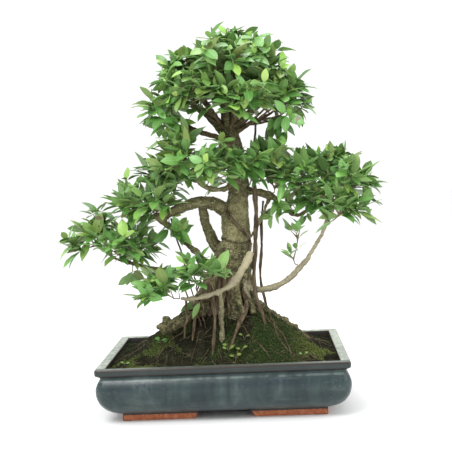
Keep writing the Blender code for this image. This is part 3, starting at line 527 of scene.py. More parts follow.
def moss_paint():
    """Cushions of moss, brighter at the tips."""
    paint = Paint("moss", Specular_IOR_Level=0.1)
    fine = paint.noise(500, detail=3)
    broad = paint.noise(60, detail=3)
    tip = paint.value("tip")
    base = paint.ramp(
        fine, (0.32, (0.006, 0.011, 0.003)), (0.52, (0.018, 0.034, 0.008)), (0.72, (0.060, 0.096, 0.022))
    )
    base = paint.mix(tip * broad.step(0.45, 0.7) * 0.5, base, (0.100, 0.160, 0.030))
    # painted light: brighter, yellower moss at the left front and on the right flank
    base = paint.mix(paint.value("painted_light") * fine.step(0.40, 0.60) * 0.8, base, (0.170, 0.205, 0.050))
    return paint.finish(
        Base_Color=base, Roughness=0.9 + fine * 0.08, Normal=paint.bump(fine, 0.8, 0.0015)
    )


def glaze_paint():
    """Blue-green glaze: streaks that run down, brown where the glaze is broken on the edges, painted shade under
    the rim's lip, a painted highlight below the neck, bare clay feet.
    """
    paint = Paint("blue_green_glaze", Coat_Roughness=0.15, Specular_IOR_Level=0.32)
    z = paint.axis("Z")
    height = (z - POT_LOW.z) / (POT_HIGH.z - POT_LOW.z)
    broad = paint.noise(9, detail=4, roughness=0.6)
    streaks = paint.noise(34, detail=5, roughness=0.6, stretch=(1, 1, 0.16), warp=0.4)
    bands = paint.noise(60, detail=5, roughness=0.7, stretch=(0.16, 1, 1))
    mottle = paint.noise(110, detail=4, roughness=0.65)
    freckles = 1 - paint.cells(240).step(0.05, 0.16)
    pale_spots = 1 - paint.cells(150, stretch=(1, 1, 0.8)).step(0.03, 0.10)
    half_length = (POT_HIGH.x - POT_LOW.x) / 2
    flank = ((paint.axis("X") - POT_CENTRE.x).size() / half_length).step(0.62, 1.0)
    front = (1 - (paint.axis("Y") - POT_LOW.y).step(0.019, 0.024)) * z.step(RIM_Z - 0.0165, RIM_Z - 0.0145)
    rim = paint.value("rim")
    edge = paint.value("edge")
    bare = paint.value("bare")
    body = paint.ramp(
        streaks * 0.6 + broad * 0.4,
        (0.34, (0.006, 0.012, 0.017)),
        (0.45, (0.015, 0.030, 0.031)),
        (0.55, (0.029, 0.050, 0.048)),
        (0.68, (0.066, 0.094, 0.085)),
    )
    body = paint.mix(mottle.step(0.45, 0.72) * 0.45, body, (0.016, 0.032, 0.034))
    body = paint.mix(bands.step(0.50, 0.64) * 0.40, body, (0.012, 0.022, 0.030))
    body = paint.mix((1 - bands).step(0.54, 0.68) * 0.30, body, (0.090, 0.125, 0.118))
    shoulder = height.step(0.55, 0.68) * (1 - height.step(0.74, 0.80))
    body = paint.mix(shoulder * mottle.step(0.40, 0.70) * broad.step(0.42, 0.56) * 0.8, body, (0.008, 0.016, 0.034))
    # painted highlight: a lighter band just below the neck
    neck_highlight = height.step(0.765, 0.785) * (1 - height.step(0.80, 0.82))
    body = paint.mix(neck_highlight * streaks.step(0.35, 0.6) * 0.6, body, (0.130, 0.175, 0.160))
    chalk = paint.noise(190, detail=6, roughness=0.75)
    body = paint.mix(chalk.step(0.60, 0.68) * flank * 0.55, body, (0.26, 0.31, 0.29))
    body = paint.mix(pale_spots * (1 - rim) * flank * 0.65, body, (0.34, 0.38, 0.36))
    body = paint.mix(front * 0.80, body, (0.014, 0.021, 0.020))
    body = paint.mix(freckles * 0.55, body, (0.016, 0.018, 0.016))
    top = paint.mix(mottle.step(0.35, 0.65), (0.20, 0.24, 0.20), (0.46, 0.50, 0.42))
    top = paint.mix(freckles * 0.9, top, (0.05, 0.045, 0.035))
    body = paint.mix(rim * (1 - front * 0.75), body, top)
    # brown glaze breaks on the rim's edges, and painted shade under the rim's lip
    breaks_and_lip_shade = (edge * 1.3 + (mottle - 0.5) * 0.9 + (broad - 0.5) * 0.8).step(0.35, 0.75)
    body = paint.mix(breaks_and_lip_shade * 0.9, body, (0.030, 0.020, 0.016))
    clay = paint.ramp(
        mottle, (0.3, (0.30, 0.085, 0.036)), (0.55, (0.44, 0.150, 0.070)), (0.75, (0.56, 0.24, 0.13))
    )
    clay = paint.mix(paint.noise(26, detail=5, roughness=0.7).step(0.57, 0.64) * 0.65, clay, (0.050, 0.052, 0.024))
    line = (bare + (broad - 0.5) * 0.12 + (mottle - 0.5) * 0.10).step(0.45, 0.55)
    seam = 1 - (bare - 0.42).size().step(0.02, 0.10)
    body = paint.mix(seam * 0.8, body, (0.020, 0.014, 0.012))
    base = paint.mix(line, body, clay)
    drip = height.step(0.0, 0.4)
    rough = 0.26 + mottle * 0.16 + (1 - drip) * 0.06 + line * 0.45 + rim * 0.1
    relief = mottle * 0.4 + streaks * 0.5
    return paint.finish(
        Base_Color=base,
        Roughness=rough,
        Coat_Weight=(1 - line) * 0.15,
        Normal=paint.bump(relief, 0.30, 0.0012),
    )


def screen_paint():
    """Black plastic drainage screen, moulded matt and dusted with soil."""
    paint = Paint("black_mesh")
    dust = paint.noise(260, detail=4)
    base = paint.mix(dust.step(0.5, 0.75) * 0.6, (0.014, 0.014, 0.015), (0.08, 0.06, 0.04))
    return paint.finish(
        Base_Color=base, Roughness=0.55 + dust * 0.3, Normal=paint.bump(dust, 0.3, 0.0004)
    )


def floor_paint():
    paint = Paint("pale_floor")
    grain = paint.noise(3, detail=2)
    return paint.finish(
        Base_Color=paint.mix(grain, (0.93, 0.93, 0.93), (0.95, 0.95, 0.95)),
        Roughness=0.85 + grain * 0.1,
    )


painted = {}


def finish_of(name, paint):
    """The material this paint makes, made only once under the name."""
    if name not in painted:
        painted[name] = paint()
    return painted[name]


# ------------------------------------------------------------------ the tray


def tray_outline(inset, z, corner, steps=8):
    """A rounded rectangle's edge loop: a plane with its corners bevelled and its face removed."""
    bpy.ops.object.select_all(action="DESELECT")
    bpy.ops.mesh.primitive_plane_add(size=1, location=(POT_CENTRE.x, POT_CENTRE.y, z))
    loop = bpy.context.object
    length, depth = POT_HIGH.x - POT_LOW.x, POT_HIGH.y - POT_LOW.y
    loop.scale = (length - 2 * inset, depth - 2 * inset, 1)
    settle(loop)
    in_edit(loop)
    bpy.ops.mesh.select_all(action="SELECT")
    bpy.ops.mesh.bevel(offset=corner, segments=steps, affect="VERTICES")
    bpy.ops.mesh.select_all(action="SELECT")
    bpy.ops.mesh.delete(type="ONLY_FACE")
    leave_edit()
    return loop


def tray_profile():
    """(inset, height, corner) of each loop, from the underside up the outside, over the rim and down inside."""
    wide = -0.0012 + 0.0012
    rows = []
    low_z, bulge_z, neck_z = BASE_Z, RIM_Z - 0.046, RIM_Z - 0.021
    for step in range(15):
        angle = math.pi / 2 * (1 - step / 14)
        inset = 0.047 - (0.047 - wide) * math.cos(angle)
        rows.append((inset, bulge_z - (bulge_z - low_z) * math.sin(angle), 0.020))
    for share in (0.25, 0.5, 0.72, 0.88, 1.0):
        curve = 1 - math.cos(share * math.pi / 2)
        rows.append((0.0093 * curve, bulge_z + (neck_z - bulge_z) * share, 0.020 - 0.008 * share))
    rows += [
        (0.0096, neck_z + 0.0015, 0.0115),
        (0.0090, neck_z + 0.0032, 0.0110),
        (0.0070, neck_z + 0.0052, 0.0100),
        (0.0040, neck_z + 0.0072, 0.0085),
        (0.0022, RIM_Z - 0.0125, 0.0075),
        (0.0014, RIM_Z - 0.0105, 0.0070),
        (0.0012, RIM_Z - 0.0050, 0.0068),
        (0.0014, RIM_Z - 0.0022, 0.0066),
        (0.0021, RIM_Z - 0.0008, 0.0062),
        (0.0034, RIM_Z - 0.0001, 0.0058),
        (0.0060, RIM_Z, 0.0056),
        (0.0150, RIM_Z - 0.0002, 0.0056),
        (0.0192, RIM_Z - 0.0005, 0.0056),
        (0.0205, RIM_Z - 0.0014, 0.0056),
        (0.0210, RIM_Z - 0.0030, 0.0056),
        (0.0208, RIM_Z - 0.0200, 0.0080),
    ]
    for step in range(1, 9):
        angle = math.pi / 2 * step / 8
        inset = 0.0208 + (0.062 - 0.0208) * (1 - math.cos(angle))
        rows.append((inset, bulge_z - (bulge_z - 0.0225) * math.sin(angle), 0.016))
    return rows


def model_body():
    """The tray's shell: its loops bridged in turn, the base and the inner floor filled."""
    loops = [tray_outline(*row) for row in tray_profile()]
    count = len(loops[0].data.vertices)
    body = join("tray", loops)
    in_edit(body)
    for number in range(len(tray_profile()) - 1):
        span = range(number * count, (number + 2) * count)
        pick(body, lambda vert: vert.index in span)
        bpy.ops.mesh.bridge_edge_loops()
    for place in (0, len(tray_profile()) - 1):
        span = range(place * count, (place + 1) * count)
        pick(body, lambda vert: vert.index in span)
        bpy.ops.mesh.edge_face_add()
    bpy.ops.mesh.select_all(action="SELECT")
    bpy.ops.mesh.normals_make_consistent(inside=False)
    leave_edit()
    return body


def model_foot(sx, sy):
    """An L-shaped bracket foot: two bars joined, their inner ends leaning outwards."""
    outer_x = (POT_HIGH.x - POT_LOW.x) / 2 - 0.0472
    outer_y = (POT_HIGH.y - POT_LOW.y) / 2 - 0.0472
    bars = []
    spans = (
        (0.061, outer_x, outer_y - 0.018, outer_y),
        (outer_x - 0.018, outer_x, 0.045, outer_y),
    )
    for number, (x0, x1, y0, y1) in enumerate(spans):
        bpy.ops.object.select_all(action="DESELECT")
        bpy.ops.mesh.primitive_cube_add(size=1)
        bar = bpy.context.object
        bar.location = (sx * (x0 + x1) / 2, sy * (y0 + y1) / 2, BASE_Z / 2 + 0.00125)
        bar.scale = (x1 - x0, y1 - y0, BASE_Z + 0.0025)
        settle(bar)
        in_edit(bar)
        inner = (x0, y0)[number]
        pick(
            bar,
            lambda v: v.co.z > 0.008 and abs(abs(v.co[number]) - inner) < 0.001,
        )
        shift = [0, 0, 0]
        shift[number] = -0.012 * (sx, sy)[number]
        bpy.ops.transform.translate(value=shift)
        leave_edit()
        bars.append(bar)
    modify(bars[0], "BOOLEAN", operation="UNION", solver="EXACT", object=bars[1])
    drop(bars[1])
    foot = bars[0]
    modify(foot, "BEVEL", width=0.0022, segments=3, limit_method="ANGLE")
    foot.location = POT_CENTRE
    settle(foot)
    return foot


def model_tray():
    body = model_body()
    for sx in (-1, 1):
        for sy in (-1, 1):
            foot = model_foot(sx, sy)
            modify(body, "BOOLEAN", operation="UNION", solver="MANIFOLD", object=foot)
            drop(foot)
    for side in (-1, 1):
        bpy.ops.object.select_all(action="DESELECT")
        bpy.ops.mesh.primitive_cylinder_add(
            vertices=40,
            radius=0.0130,
            depth=0.04,
            location=(POT_CENTRE.x + side * 0.110, POT_CENTRE.y, 0.0175),
        )
        drill = bpy.context.object
        settle(drill)
        modify(body, "BOOLEAN", operation="DIFFERENCE", solver="MANIFOLD", object=drill)
        drop(drill)
    mark_tray(body)
    body.data.materials.clear()
    body.data.materials.append(glaze_paint())
    smooth(body, 40)
    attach(body, "root")
    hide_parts("pot")
    return body


def mark_tray(body):
    """Where the glaze is thin on the edges, where painted shade goes under the rim's lip, pale on the rim's top and
    missing from feet and base.
    """
    points = points_of(body)
    x = np.abs(points[:, 0] - POT_CENTRE.x) - (POT_HIGH.x - POT_LOW.x) / 2
    y = np.abs(points[:, 1] - POT_CENTRE.y) - (POT_HIGH.y - POT_LOW.y) / 2
    inset = -np.maximum(x, y)
    z = points[:, 2]
    rim = ((z > RIM_Z - 0.0009) & (inset > 0.0025)).astype(float)
    edge = np.zeros(len(z))
    edge[(z > RIM_Z - 0.0030) & (inset < 0.0030)] = 1.0
    # painted shade under the rim's lip, not a glaze break
    edge[(z < RIM_Z - 0.0115) & (z > RIM_Z - 0.0155) & (inset < 0.006)] = 0.85
    edge[(z > RIM_Z - 0.0035) & (inset > 0.0200)] = 0.8
    bare = np.where(z < BASE_Z - 0.004, 1.0, np.where(z < BASE_Z + 0.002, 0.22, 0.0))
    set_values(body, "rim", rim)
    set_values(body, "edge", edge)
    set_values(body, "bare", bare)


# ------------------------------------------------------------------ wood

PALE_WOOD = (
    "trunk",
    "branch_left",
    "branch_left_inner",
    "prop_root_left",
    "branch_low_left",
    "branch_low_front",
    "branch_low_right",
    "branch_right",
    "branch_back",
    "branch_front_upper",
    "crown_branch_left",
    "crown_branch_right",
    "crown_branch_front",
    "crown_branch_back",
    "crown_branch_top",
    "prop_root_right",
    "aerial_root_front",
    "surface_root_left",
    "surface_root_right",
)
# (angle at the top and bottom, height shares at the top and bottom, radius, flare) round the trunk
BUTTRESSES = (
    (292, 296, 0.47, 0.335, 0.0080, 0.008),
    (318, 320, 0.52, 0.330, 0.0085, 0.012),
    (345, 350, 0.54, 0.330, 0.0085, 0.018),
    (20, 12, 0.50, 0.330, 0.0085, 0.018),
    (62, 65, 0.50, 0.330, 0.0080, 0.014),
    (100, 104, 0.52, 0.330, 0.0085, 0.018),
    (145, 150, 0.54, 0.330, 0.0090, 0.022),
    (188, 190, 0.53, 0.330, 0.0085, 0.026),
    (228, 226, 0.52, 0.330, 0.0080, 0.014),
)
HUGGING_ROOTS = (
    (213, 352, 0.712, 0.575, 0.0042, 0.000),
    (352, 347, 0.575, 0.335, 0.0038, 0.012),
    (336, 338, 0.460, 0.330, 0.0050, 0.014),
    (205, 206, 0.540, 0.330, 0.0070, 0.024),
    (214, 214, 0.525, 0.330, 0.0060, 0.020),
    (222, 221, 0.500, 0.330, 0.0065, 0.018),
    (238, 236, 0.515, 0.330, 0.0060, 0.014),
    (249, 246, 0.490, 0.330, 0.0055, 0.012),
    (262, 258, 0.505, 0.330, 0.0050, 0.008),
    (275, 272, 0.460, 0.330, 0.0040, 0.006),
    (196, 195, 0.500, 0.330, 0.0060, 0.032),
    (175, 172, 0.520, 0.330, 0.0055, 0.026),
    (40, 36, 0.560, 0.330, 0.0045, 0.016),
    (82, 86, 0.600, 0.330, 0.0048, 0.016),
    (122, 124, 0.560, 0.330, 0.0050, 0.020),
)
# (branch, how far along its length in x, foot's shift in x and y, radius)
FALLING_ROOTS = (
    ("branch_low_front", 0.02, -0.010, 0.030, 0.0022),
    ("branch_low_front", 0.12, 0.014, 0.036, 0.0018),
    ("branch_low_front", 0.20, -0.012, 0.040, 0.0025),
    ("branch_low_front", 0.30, 0.004, 0.030, 0.0016),
    ("branch_low_left", 0.62, 0.022, -0.020, 0.0022),
    ("branch_low_left", 0.74, 0.012, -0.030, 0.0016),
    ("branch_low_left", 0.80, -0.012, -0.012, 0.0020),
    ("branch_left", 0.42, 0.046, -0.004, 0.0018),
)
trunk_skin = tree_of(nodes["trunk"])
DARK_ROOTS = (
    "aerial_root_long",
    "aerial_root_twin",
    "aerial_root_front_left",
    "aerial_root_front_right",
    "aerial_root_left",
)
# directions probed round each point to find crevices for the painted shade
CREVICE_PROBES = ((1, 0, 0), (-1, 0, 0), (0, 1, 0), (0, -1, 0), (0, 0, 1), (0, 0, -1))
TAN_WOOD = {"branch_low_front": 1.0, "branch_low_right": 0.7, "aerial_root_front": 0.25}


def model_wood():
    """Trunk, branches and pale roots grown together into one skin with bark relief."""
    parts = [own_copy(nodes[name], f"{name}_copy") for name in PALE_WOOD]
    skin, shares = labelled_tree(parts, [TAN_WOOD.get(name, 0.0) for name in PALE_WOOD])
    buttresses = [route_round_trunk(*root) for root in BUTTRESSES]
    wood = join("trunk_and_branches", [*parts, strands("buttresses", [*buttresses, root_stub()], sides=3)])
    modify(wood, "REMESH", mode="VOXEL", voxel_size=0.00195, use_smooth_shade=True)
    modify(wood, "SMOOTH", factor=0.5, iterations=5)
    lumps = texture("bark_lumps", 0.028, 3)
    folds = texture("bark_folds", 0.0075, 3)
    modify(wood, "DISPLACE", texture=lumps, strength=0.0085, mid_level=0.5, texture_coords="LOCAL")
    modify(wood, "DISPLACE", texture=folds, strength=0.0042, mid_level=0.5, texture_coords="LOCAL")
    cut = cut_crease(wood)
    points = roughen_surface_roots(wood)
    tan = [shares[skin.find_nearest(Vector(point))[2]] for point in points]
    set_values(wood, "old", tan)
    set_bark_values(wood, points, cut)
    wood.data.materials.clear()
    wood.data.materials.append(bark_paint())
    smooth(wood, 180)
    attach(wood, "root")
    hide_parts(*PALE_WOOD)
    return wood


def root_stub():
    """The knob at the left surface root's far end."""
    low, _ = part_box("surface_root_left")
    near = tree_of(nodes["surface_root_left"]).find_nearest(Vector((low.x + 0.014, low.y, low.z + 0.05)))[0]
    rise = ((0.004, 0.006, -0.010, 0.011), (0.000, 0.004, -0.002, 0.010), (-0.004, 0.002, 0.006, 0.0075))
    return [(near + Vector(step[:3]), step[3]) for step in rise]


def trunk_axis():
    """The trunk's middle at each level, as a function of height."""
    line = centre_line("trunk", 0.012)[::-1]
    levels = [centre.z for centre, _ in line]

    def middle(z):
        return Vector([np.interp(z, levels, [centre[i] for centre, _ in line]) for i in range(2)] + [z])

    return middle


def route_round_trunk(start, end, top, bottom, thick, flare):
    """A root that follows the trunk's skin down, turning from one angle to the other."""
    route = []
    for step in range(29):
        share = step / 28
        angle = math.radians(start + (end - start) * share)
        z = TRUNK_HIGH.z * (top + (bottom - top) * share)
        outward = Vector((math.cos(angle), math.sin(angle), 0))
        middle = axis_at(z)
        hit = trunk_skin.ray_cast(middle + outward * 0.14, -outward)
        if hit[0] is None:
            continue
        wave = noise.noise(Vector((start, z * 60, 2.0))) * 0.0025
        girth = thick * (1 - 0.25 * share) * (1 + 0.3 * noise.noise(Vector((start, z * 45, 8.0))))
        route.append((hit[0] + outward * (thick * 0.3 + wave + flare * share**2), girth))
    return route


def crease_level(away):
    """The height of the wavy cut on this side of the trunk."""
    return CREASE_Z + 0.005 * math.sin(math.atan2(away.y, away.x) * 2 + 0.6)


def cut_crease(wood):
    """A shallow wavy cut round the trunk; gives back how deep each point lies in it, 0 to 1."""
    points = points_of(wood)
    near = np.nonzero(np.abs(points[:, 2] - CREASE_Z) < 0.02)[0]
    cut = np.zeros(len(points))
    for index in near:
        middle = axis_at(points[index][2])
        away = Vector(points[index]) - middle
        if away.length > 0.045:
            continue
        depth = max(0.0, 1 - abs(points[index][2] - crease_level(away)) / 0.0034)
        points[index] -= np.array(away.normalized()) * depth * 0.0034
        cut[index] = depth
    put_points(wood, points)
    return cut


def roughen_surface_roots(wood):
    """The roots on the soil are gnarled; gives back the moved points."""
    points = points_of(wood)
    normals = np.array([v.normal for v in wood.data.vertices])
    for node in ("surface_root_left", "surface_root_right"):
        low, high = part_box(node)
        inside = np.all((points > np.array(low) - 0.006) & (points < np.array(high) + 0.006), axis=1)
        for index in np.nonzero(inside)[0]:
            place = Vector(points[index])
            swell = noise.noise(place * 75) * 0.0045 + noise.noise(place * 190) * 0.0022
            points[index] += normals[index] * swell
    put_points(wood, points)
    return points


def set_bark_values(wood, points, cut):
    """Painted shade darkens undersides, crotches and the crease, and the trunk's foot is scabby."""
    normals = np.array([v.normal for v in wood.data.vertices])
    tree = tree_of(wood)
    painted_shade = np.zeros(len(points))
    for index in range(0, len(points)):
        if index % 3:
            continue
        start = Vector(points[index] + normals[index] * 0.002)
        hits = 0
        for side in CREVICE_PROBES:
            direction = Vector(normals[index]) + Vector(side) * 0.9
            if tree.ray_cast(start, direction.normalized(), 0.022)[0] is not None:
                hits += 1
        painted_shade[index:index + 3] = hits / len(CREVICE_PROBES)
    under = np.clip(-normals[:, 2] * 0.75 - 0.1, 0, 0.55)
    low = np.clip(0.5 - (points[:, 2] - CREASE_Z) / 0.03, 0, 1)
    # painted shade: crevice hits, undersides and the crease's depth
    set_values(wood, "painted_shade", np.clip(painted_shade * 1.3 + under + cut * 0.8, 0, 1))
    set_values(wood, "low", low)


def centre_line(node, step=0.005):
    """(centre, radius) of level slices through a hanging root, from the top down."""
    root = own_copy(nodes[node], "slice")
    low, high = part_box(node)
    found = []
    levels = np.arange(high.z - 0.002, low.z + 0.001, -step)
    for level in levels:
        bm = bmesh.new()
        bm.from_mesh(root.data)
        cut = bmesh.ops.bisect_plane(
            bm,
            geom=bm.verts[:] + bm.edges[:] + bm.faces[:],
            plane_co=(0, 0, level),
            plane_no=(0, 0, 1),
        )
        ring = [part.co.copy() for part in cut["geom_cut"] if isinstance(part, bmesh.types.BMVert)]
        bm.free()
        if len(ring) >= 3:
            centre = sum(ring, Vector()) / len(ring)
            reach = sum((point - centre).length for point in ring) / len(ring)
            found.append((centre, reach))
    drop(root)
    return found


def strands(name, routes, sides=2):
    """Thin round stems along the routes, each a list of (place, radius), made as one curve's splines."""
    curve = bpy.data.curves.new(name, "CURVE")
    curve.dimensions = "3D"
    curve.bevel_depth = 1.0
    curve.bevel_resolution = sides
    curve.use_fill_caps = True
    for route in routes:
        spline = curve.splines.new("POLY")
        spline.points.add(len(route) - 1)
        for point, (place, thick) in zip(spline.points, route):
            point.co = (*place, 1)
            point.radius = thick
    made = bpy.data.objects.new(name, curve)
    bpy.context.scene.collection.objects.link(made)
    only(made)
    bpy.ops.object.convert(target="MESH")
    return bpy.context.object


def model_hanging_root(node, count):
    """A hanging root of several strands wound loosely round each other."""
    line = centre_line(node)
    routes = []
    for number in range(count):
        turn = 2 * math.pi * number / count + shuffle.uniform(0, 1)
        pitch = shuffle.uniform(38, 60)
        share = (0.62, 0.54, 0.48)[number]
        route = []
        for centre, reach in line:
            angle = turn + pitch * (line[0][0].z - centre.z)
            wander = 0.85 + 0.35 * noise.noise(Vector((number * 5.3, 0, centre.z * 40)))
            offset = reach * (0 if count == 1 else 0.52) * wander
            girth = 1 + 0.25 * noise.noise(Vector((number * 3.1, 7, centre.z * 70)))
            place = centre + Vector((math.cos(angle), math.sin(angle), 0)) * offset
            route.append((place, max(reach * share * girth, 0.0009)))
        routes.append(route)
    root = strands(f"{node}_strands", routes)
    modify(
        root,
        "DISPLACE",
        texture=texture("root_knots", 0.006, 2),
        strength=0.0009,
        mid_level=0.5,
        texture_coords="LOCAL",
    )
    dress(root, root_paint, "root_bark")
    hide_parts(node)


def falling_root(node, along, shift_x, shift_y, thick, earth):
    """A thin root that hangs from a branch and slants to the ground, slightly crooked."""
    low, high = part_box(node)
    aim = Vector((low.x + (high.x - low.x) * along, (low.y + high.y) / 2, low.z - 0.05))
    start = tree_of(nodes[node]).find_nearest(aim)[0]
    foot = earth.ray_cast(Vector((start.x + shift_x, start.y + shift_y, start.z)), Vector((0, 0, -1)))[0]
    route = []
    for step in range(25 if foot else 0):
        share = step / 24
        sway = Vector([noise.noise(Vector((along * 9, share * 3, i * 4.0))) for i in range(3)])
        place = start.lerp(foot, share) + sway * 0.007 * math.sin(math.pi * share)
        route.append((place, thick * (1.1 - 0.3 * share) * (1 + 0.25 * sway.x)))
    return route


def creeping_root(place, heading, length, thick, earth):
    """A root or thread that wanders over the soil and dives in at both ends."""
    route = []
    for step in range(int(length / 0.004)):
        hit = earth.ray_cast(Vector((place.x, place.y, 0.4)), Vector((0, 0, -1)))
        if hit[0] is None or hit[1].z < 0.25:
            break
        share = step * 0.004 / length
        lift = thick * (0.7 - 1.6 * max(0, share - 0.7) - 1.6 * max(0, 0.2 - share))
        route.append((hit[0] + Vector((0, 0, lift)), thick * (1 - 0.55 * share)))
        heading += shuffle.uniform(-0.24, 0.24)
        place = place + Vector((math.cos(heading), math.sin(heading), 0)) * 0.004
    return route if len(route) > 4 else []


def model_thin_roots(ground):
    """Roots that hug the trunk, thin ones that fall from the branches, and creeping ones round the foot."""
    earth = tree_of(ground)
    foot = axis_at(TRUNK_HIGH.z * 0.35)
    routes = [route_round_trunk(*root) for root in HUGGING_ROOTS]
    routes += [falling_root(*root, earth) for root in FALLING_ROOTS]
    for _ in range(18):
        angle = shuffle.uniform(0, 2 * math.pi)
        place = foot + Vector((math.cos(angle) * 1.25, math.sin(angle), 0)) * shuffle.uniform(0.05, 0.12)
        thick = shuffle.choice((0.0005, 0.0007, 0.0011))
        heading = angle + shuffle.uniform(-0.5, 0.5)
        routes.append(creeping_root(place, heading, shuffle.uniform(0.04, 0.12), thick, earth))
    for number in range(7):
        place = foot + Vector((0.055, -0.02 + 0.006 * number, 0))
        heading = shuffle.uniform(-0.35, 0.15)
        routes.append(creeping_root(place, heading, shuffle.uniform(0.10, 0.17), 0.0015, earth))
    dress(strands("thin_roots", [route for route in routes if route]), root_paint, "root_bark")
    threads = []
    for _ in range(190):
        place = POT_CENTRE + Vector((shuffle.uniform(-0.21, 0.21), shuffle.uniform(-0.155, 0.03), 0))
        heading = shuffle.choice((-1.6, -0.5, 0.1, -2.6, -3.0)) + shuffle.uniform(-0.4, 0.4)
        thick = shuffle.choice((0.0003, 0.0003, 0.0004, 0.0005))
        threads.append(creeping_root(place, heading, shuffle.uniform(0.02, 0.07), thick, earth))
    stick = POT_CENTRE + Vector((0.165, -0.085, 0))
    threads.append(creeping_root(stick, -0.45, 0.04, 0.0017, earth))
    dress(strands("dry_threads", [route for route in threads if route], 1), thread_paint, "dry_threads")


def dress(piece, paint, slot, angle=180):
    """Gives a new piece its material, smooth shading and body."""
    piece.data.materials.clear()
    piece.data.materials.append(finish_of(slot, paint))
    smooth(piece, angle)
    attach(piece, "root")


axis_at = trunk_axis()

# ------------------------------------------------------------------ leaves

LEAF_WIDTH = 0.52  # of a leaf 1 long
BARE_TWIGS = ("right_twig",)
SHOOTS_PER_LEAF = 0.50  # side shoots grown for each packed leaf
LOOSE_SHOOTS = {
    "left_spray_front": (("branch_left", 0.02), ("branch_left", 0.12)),
    "left_spray_inner": (("branch_left", 0.18),),
    "left_spray_tip": (("prop_root_left", 0.0), ("branch_left", 0.0)),
    "low_left_spray_back": (("prop_root_left", 0.04),),
    "low_left_spray_front": (("branch_low_left", 0.24),),
    "front_spray_inner": (("branch_low_front", 0.30),),
    "right_spray_inner": (("branch_right", 0.42),),
    "right_spray_back": (("branch_right", 0.85),),
}
limb_ends = {}


def model_leaf(name, fold, arch, curl, width=LEAF_WIDTH):
    """One leaf along +Y, 1 long: a strip extruded station by station, folded, given a stalk and thickness."""
    stations = (0.125, 0.18, 0.27, 0.40, 0.53, 0.67, 0.80, 0.90, 1.0)
    shares = (0.05, 0.40, 0.74, 0.96, 1.0, 0.90, 0.66, 0.34, 0.02)
    bpy.ops.object.select_all(action="DESELECT")
    bpy.ops.mesh.primitive_grid_add(x_subdivisions=4, y_subdivisions=1, size=1)
    leaf = bpy.context.object
    leaf.name = name
    in_edit(leaf)
    bpy.ops.transform.resize(value=(width * shares[0], stations[1] - stations[0], 1))
    bpy.ops.transform.translate(value=(0, (stations[0] + stations[1]) / 2, 0))
    pick(leaf, lambda v: v.co.y > (stations[0] + stations[1]) / 2)
    bpy.ops.transform.resize(
        value=(shares[1] / shares[0], 1, 1), center_override=(0, stations[1], 0)
    )
    for number in range(2, len(stations)):
        forward = stations[number] - stations[number - 1]
        bpy.ops.mesh.extrude_region_move(TRANSFORM_OT_translate={"value": (0, forward, 0)})
        bpy.ops.transform.resize(
            value=(shares[number] / shares[number - 1], 1, 1),
            center_override=(0, stations[number], 0),
        )
    leave_edit()
    layer = leaf.data.uv_layers.active or leaf.data.uv_layers.new(name="leaf")
    layer.name = "leaf"
    points = points_of(leaf)
    for loop in leaf.data.loops:
        x, y, _ = points[loop.vertex_index]
        half = width / 2 * np.interp(y, stations, shares)
        layer.data[loop.index].uv = (0.5 + 0.5 * x / half, (y - 0.13) / 0.87)
    x, y = points[:, 0].copy(), points[:, 1].copy()
    half = width / 2
    points[:, 2] = fold * np.abs(x) * (1 - 0.35 * np.abs(x) / half) + 4 * arch * y * (1 - y)
    points[:, 2] += curl * (y - 0.55) * x * 2 + 0.010 * np.sin(y * 19) * np.abs(x) / half
    points[:, 0] = x * (1 - 0.5 * fold * fold)
    put_points(leaf, points)
    modify(leaf, "SOLIDIFY", thickness=0.011, offset=-1)
    leaf = join(name, [leaf, model_stalk(arch)])
    normals = np.array([v.normal for v in leaf.data.vertices])
    set_values(leaf, "underside", np.where(normals[:, 2] < 0, 1.0, 0.0))
    smooth(leaf, 60)
    leaf.hide_render = True
    return leaf


def model_stalk(arch):
    """The leaf's short stalk, thinner where it meets the blade."""
    bpy.ops.object.select_all(action="DESELECT")
    bpy.ops.mesh.primitive_cone_add(
        vertices=5, radius1=0.020, radius2=0.013, depth=0.20,
        location=(0, 0.075, 2 * arch * 0.15), rotation=(-math.pi / 2, 0, 0),
    )
    stalk = bpy.context.object
    stalk.rotation_euler.x += 3.2 * arch
    settle(stalk)
    layer = stalk.data.uv_layers.active
    layer.name = "leaf"
    for corner in layer.data:
        corner.uv = (0.5, 0.0)
    return stalk


def leaves_in(spray):
    """Each leaf of a packed spray: its base, tip, side, facing and half width, and the twig left over."""
    bm = bmesh.new()
    bm.from_mesh(spray.data)
    bm.verts.ensure_lookup_table()
    found, blades = [], set()
    for tip in bm.verts:
        around = [edge.other_vert(tip) for edge in tip.link_edges]
        if len(around) != 4 or min((v.co - tip.co).length for v in around) < 0.006:
            continue
        outer = set(around)
        inner = {e.other_vert(v) for v in outer for e in v.link_edges} - outer - {tip}
        if len(inner) != 4:
            continue
        root = {e.other_vert(v) for v in inner for e in v.link_edges} - outer - inner
        if len(root) < 4:
            continue
        near = sorted(root, key=lambda v: min((v.co - w.co).length for w in inner))[:4]
        base = sum((v.co for v in near), Vector()) / 4
        pairs = [(a, b) for i, a in enumerate(around) for b in around[i + 1:]]
        left, right = max(pairs, key=lambda pair: (pair[0].co - pair[1].co).length)
        thin = [v for v in around if v not in (left, right)]
        side = (right.co - left.co)
        raised = (left.co + right.co) / 2 - (thin[0].co + thin[1].co) / 2
        along = (tip.co - base).normalized()
        up = (raised - along * raised.dot(along)).normalized()
        if up.cross(along).dot(side) < 0:
            side = -side
        found.append((base.copy(), tip.co.copy(), up, side.length / 2))
        blades |= outer | inner | {tip}
    bmesh.ops.delete(bm, geom=list(blades), context="VERTS")
    open_edges = [edge for edge in bm.edges if edge.is_boundary]
    bmesh.ops.holes_fill(bm, edges=open_edges, sides=0)
    bm.to_mesh(spray.data)
    bm.free()
    return found


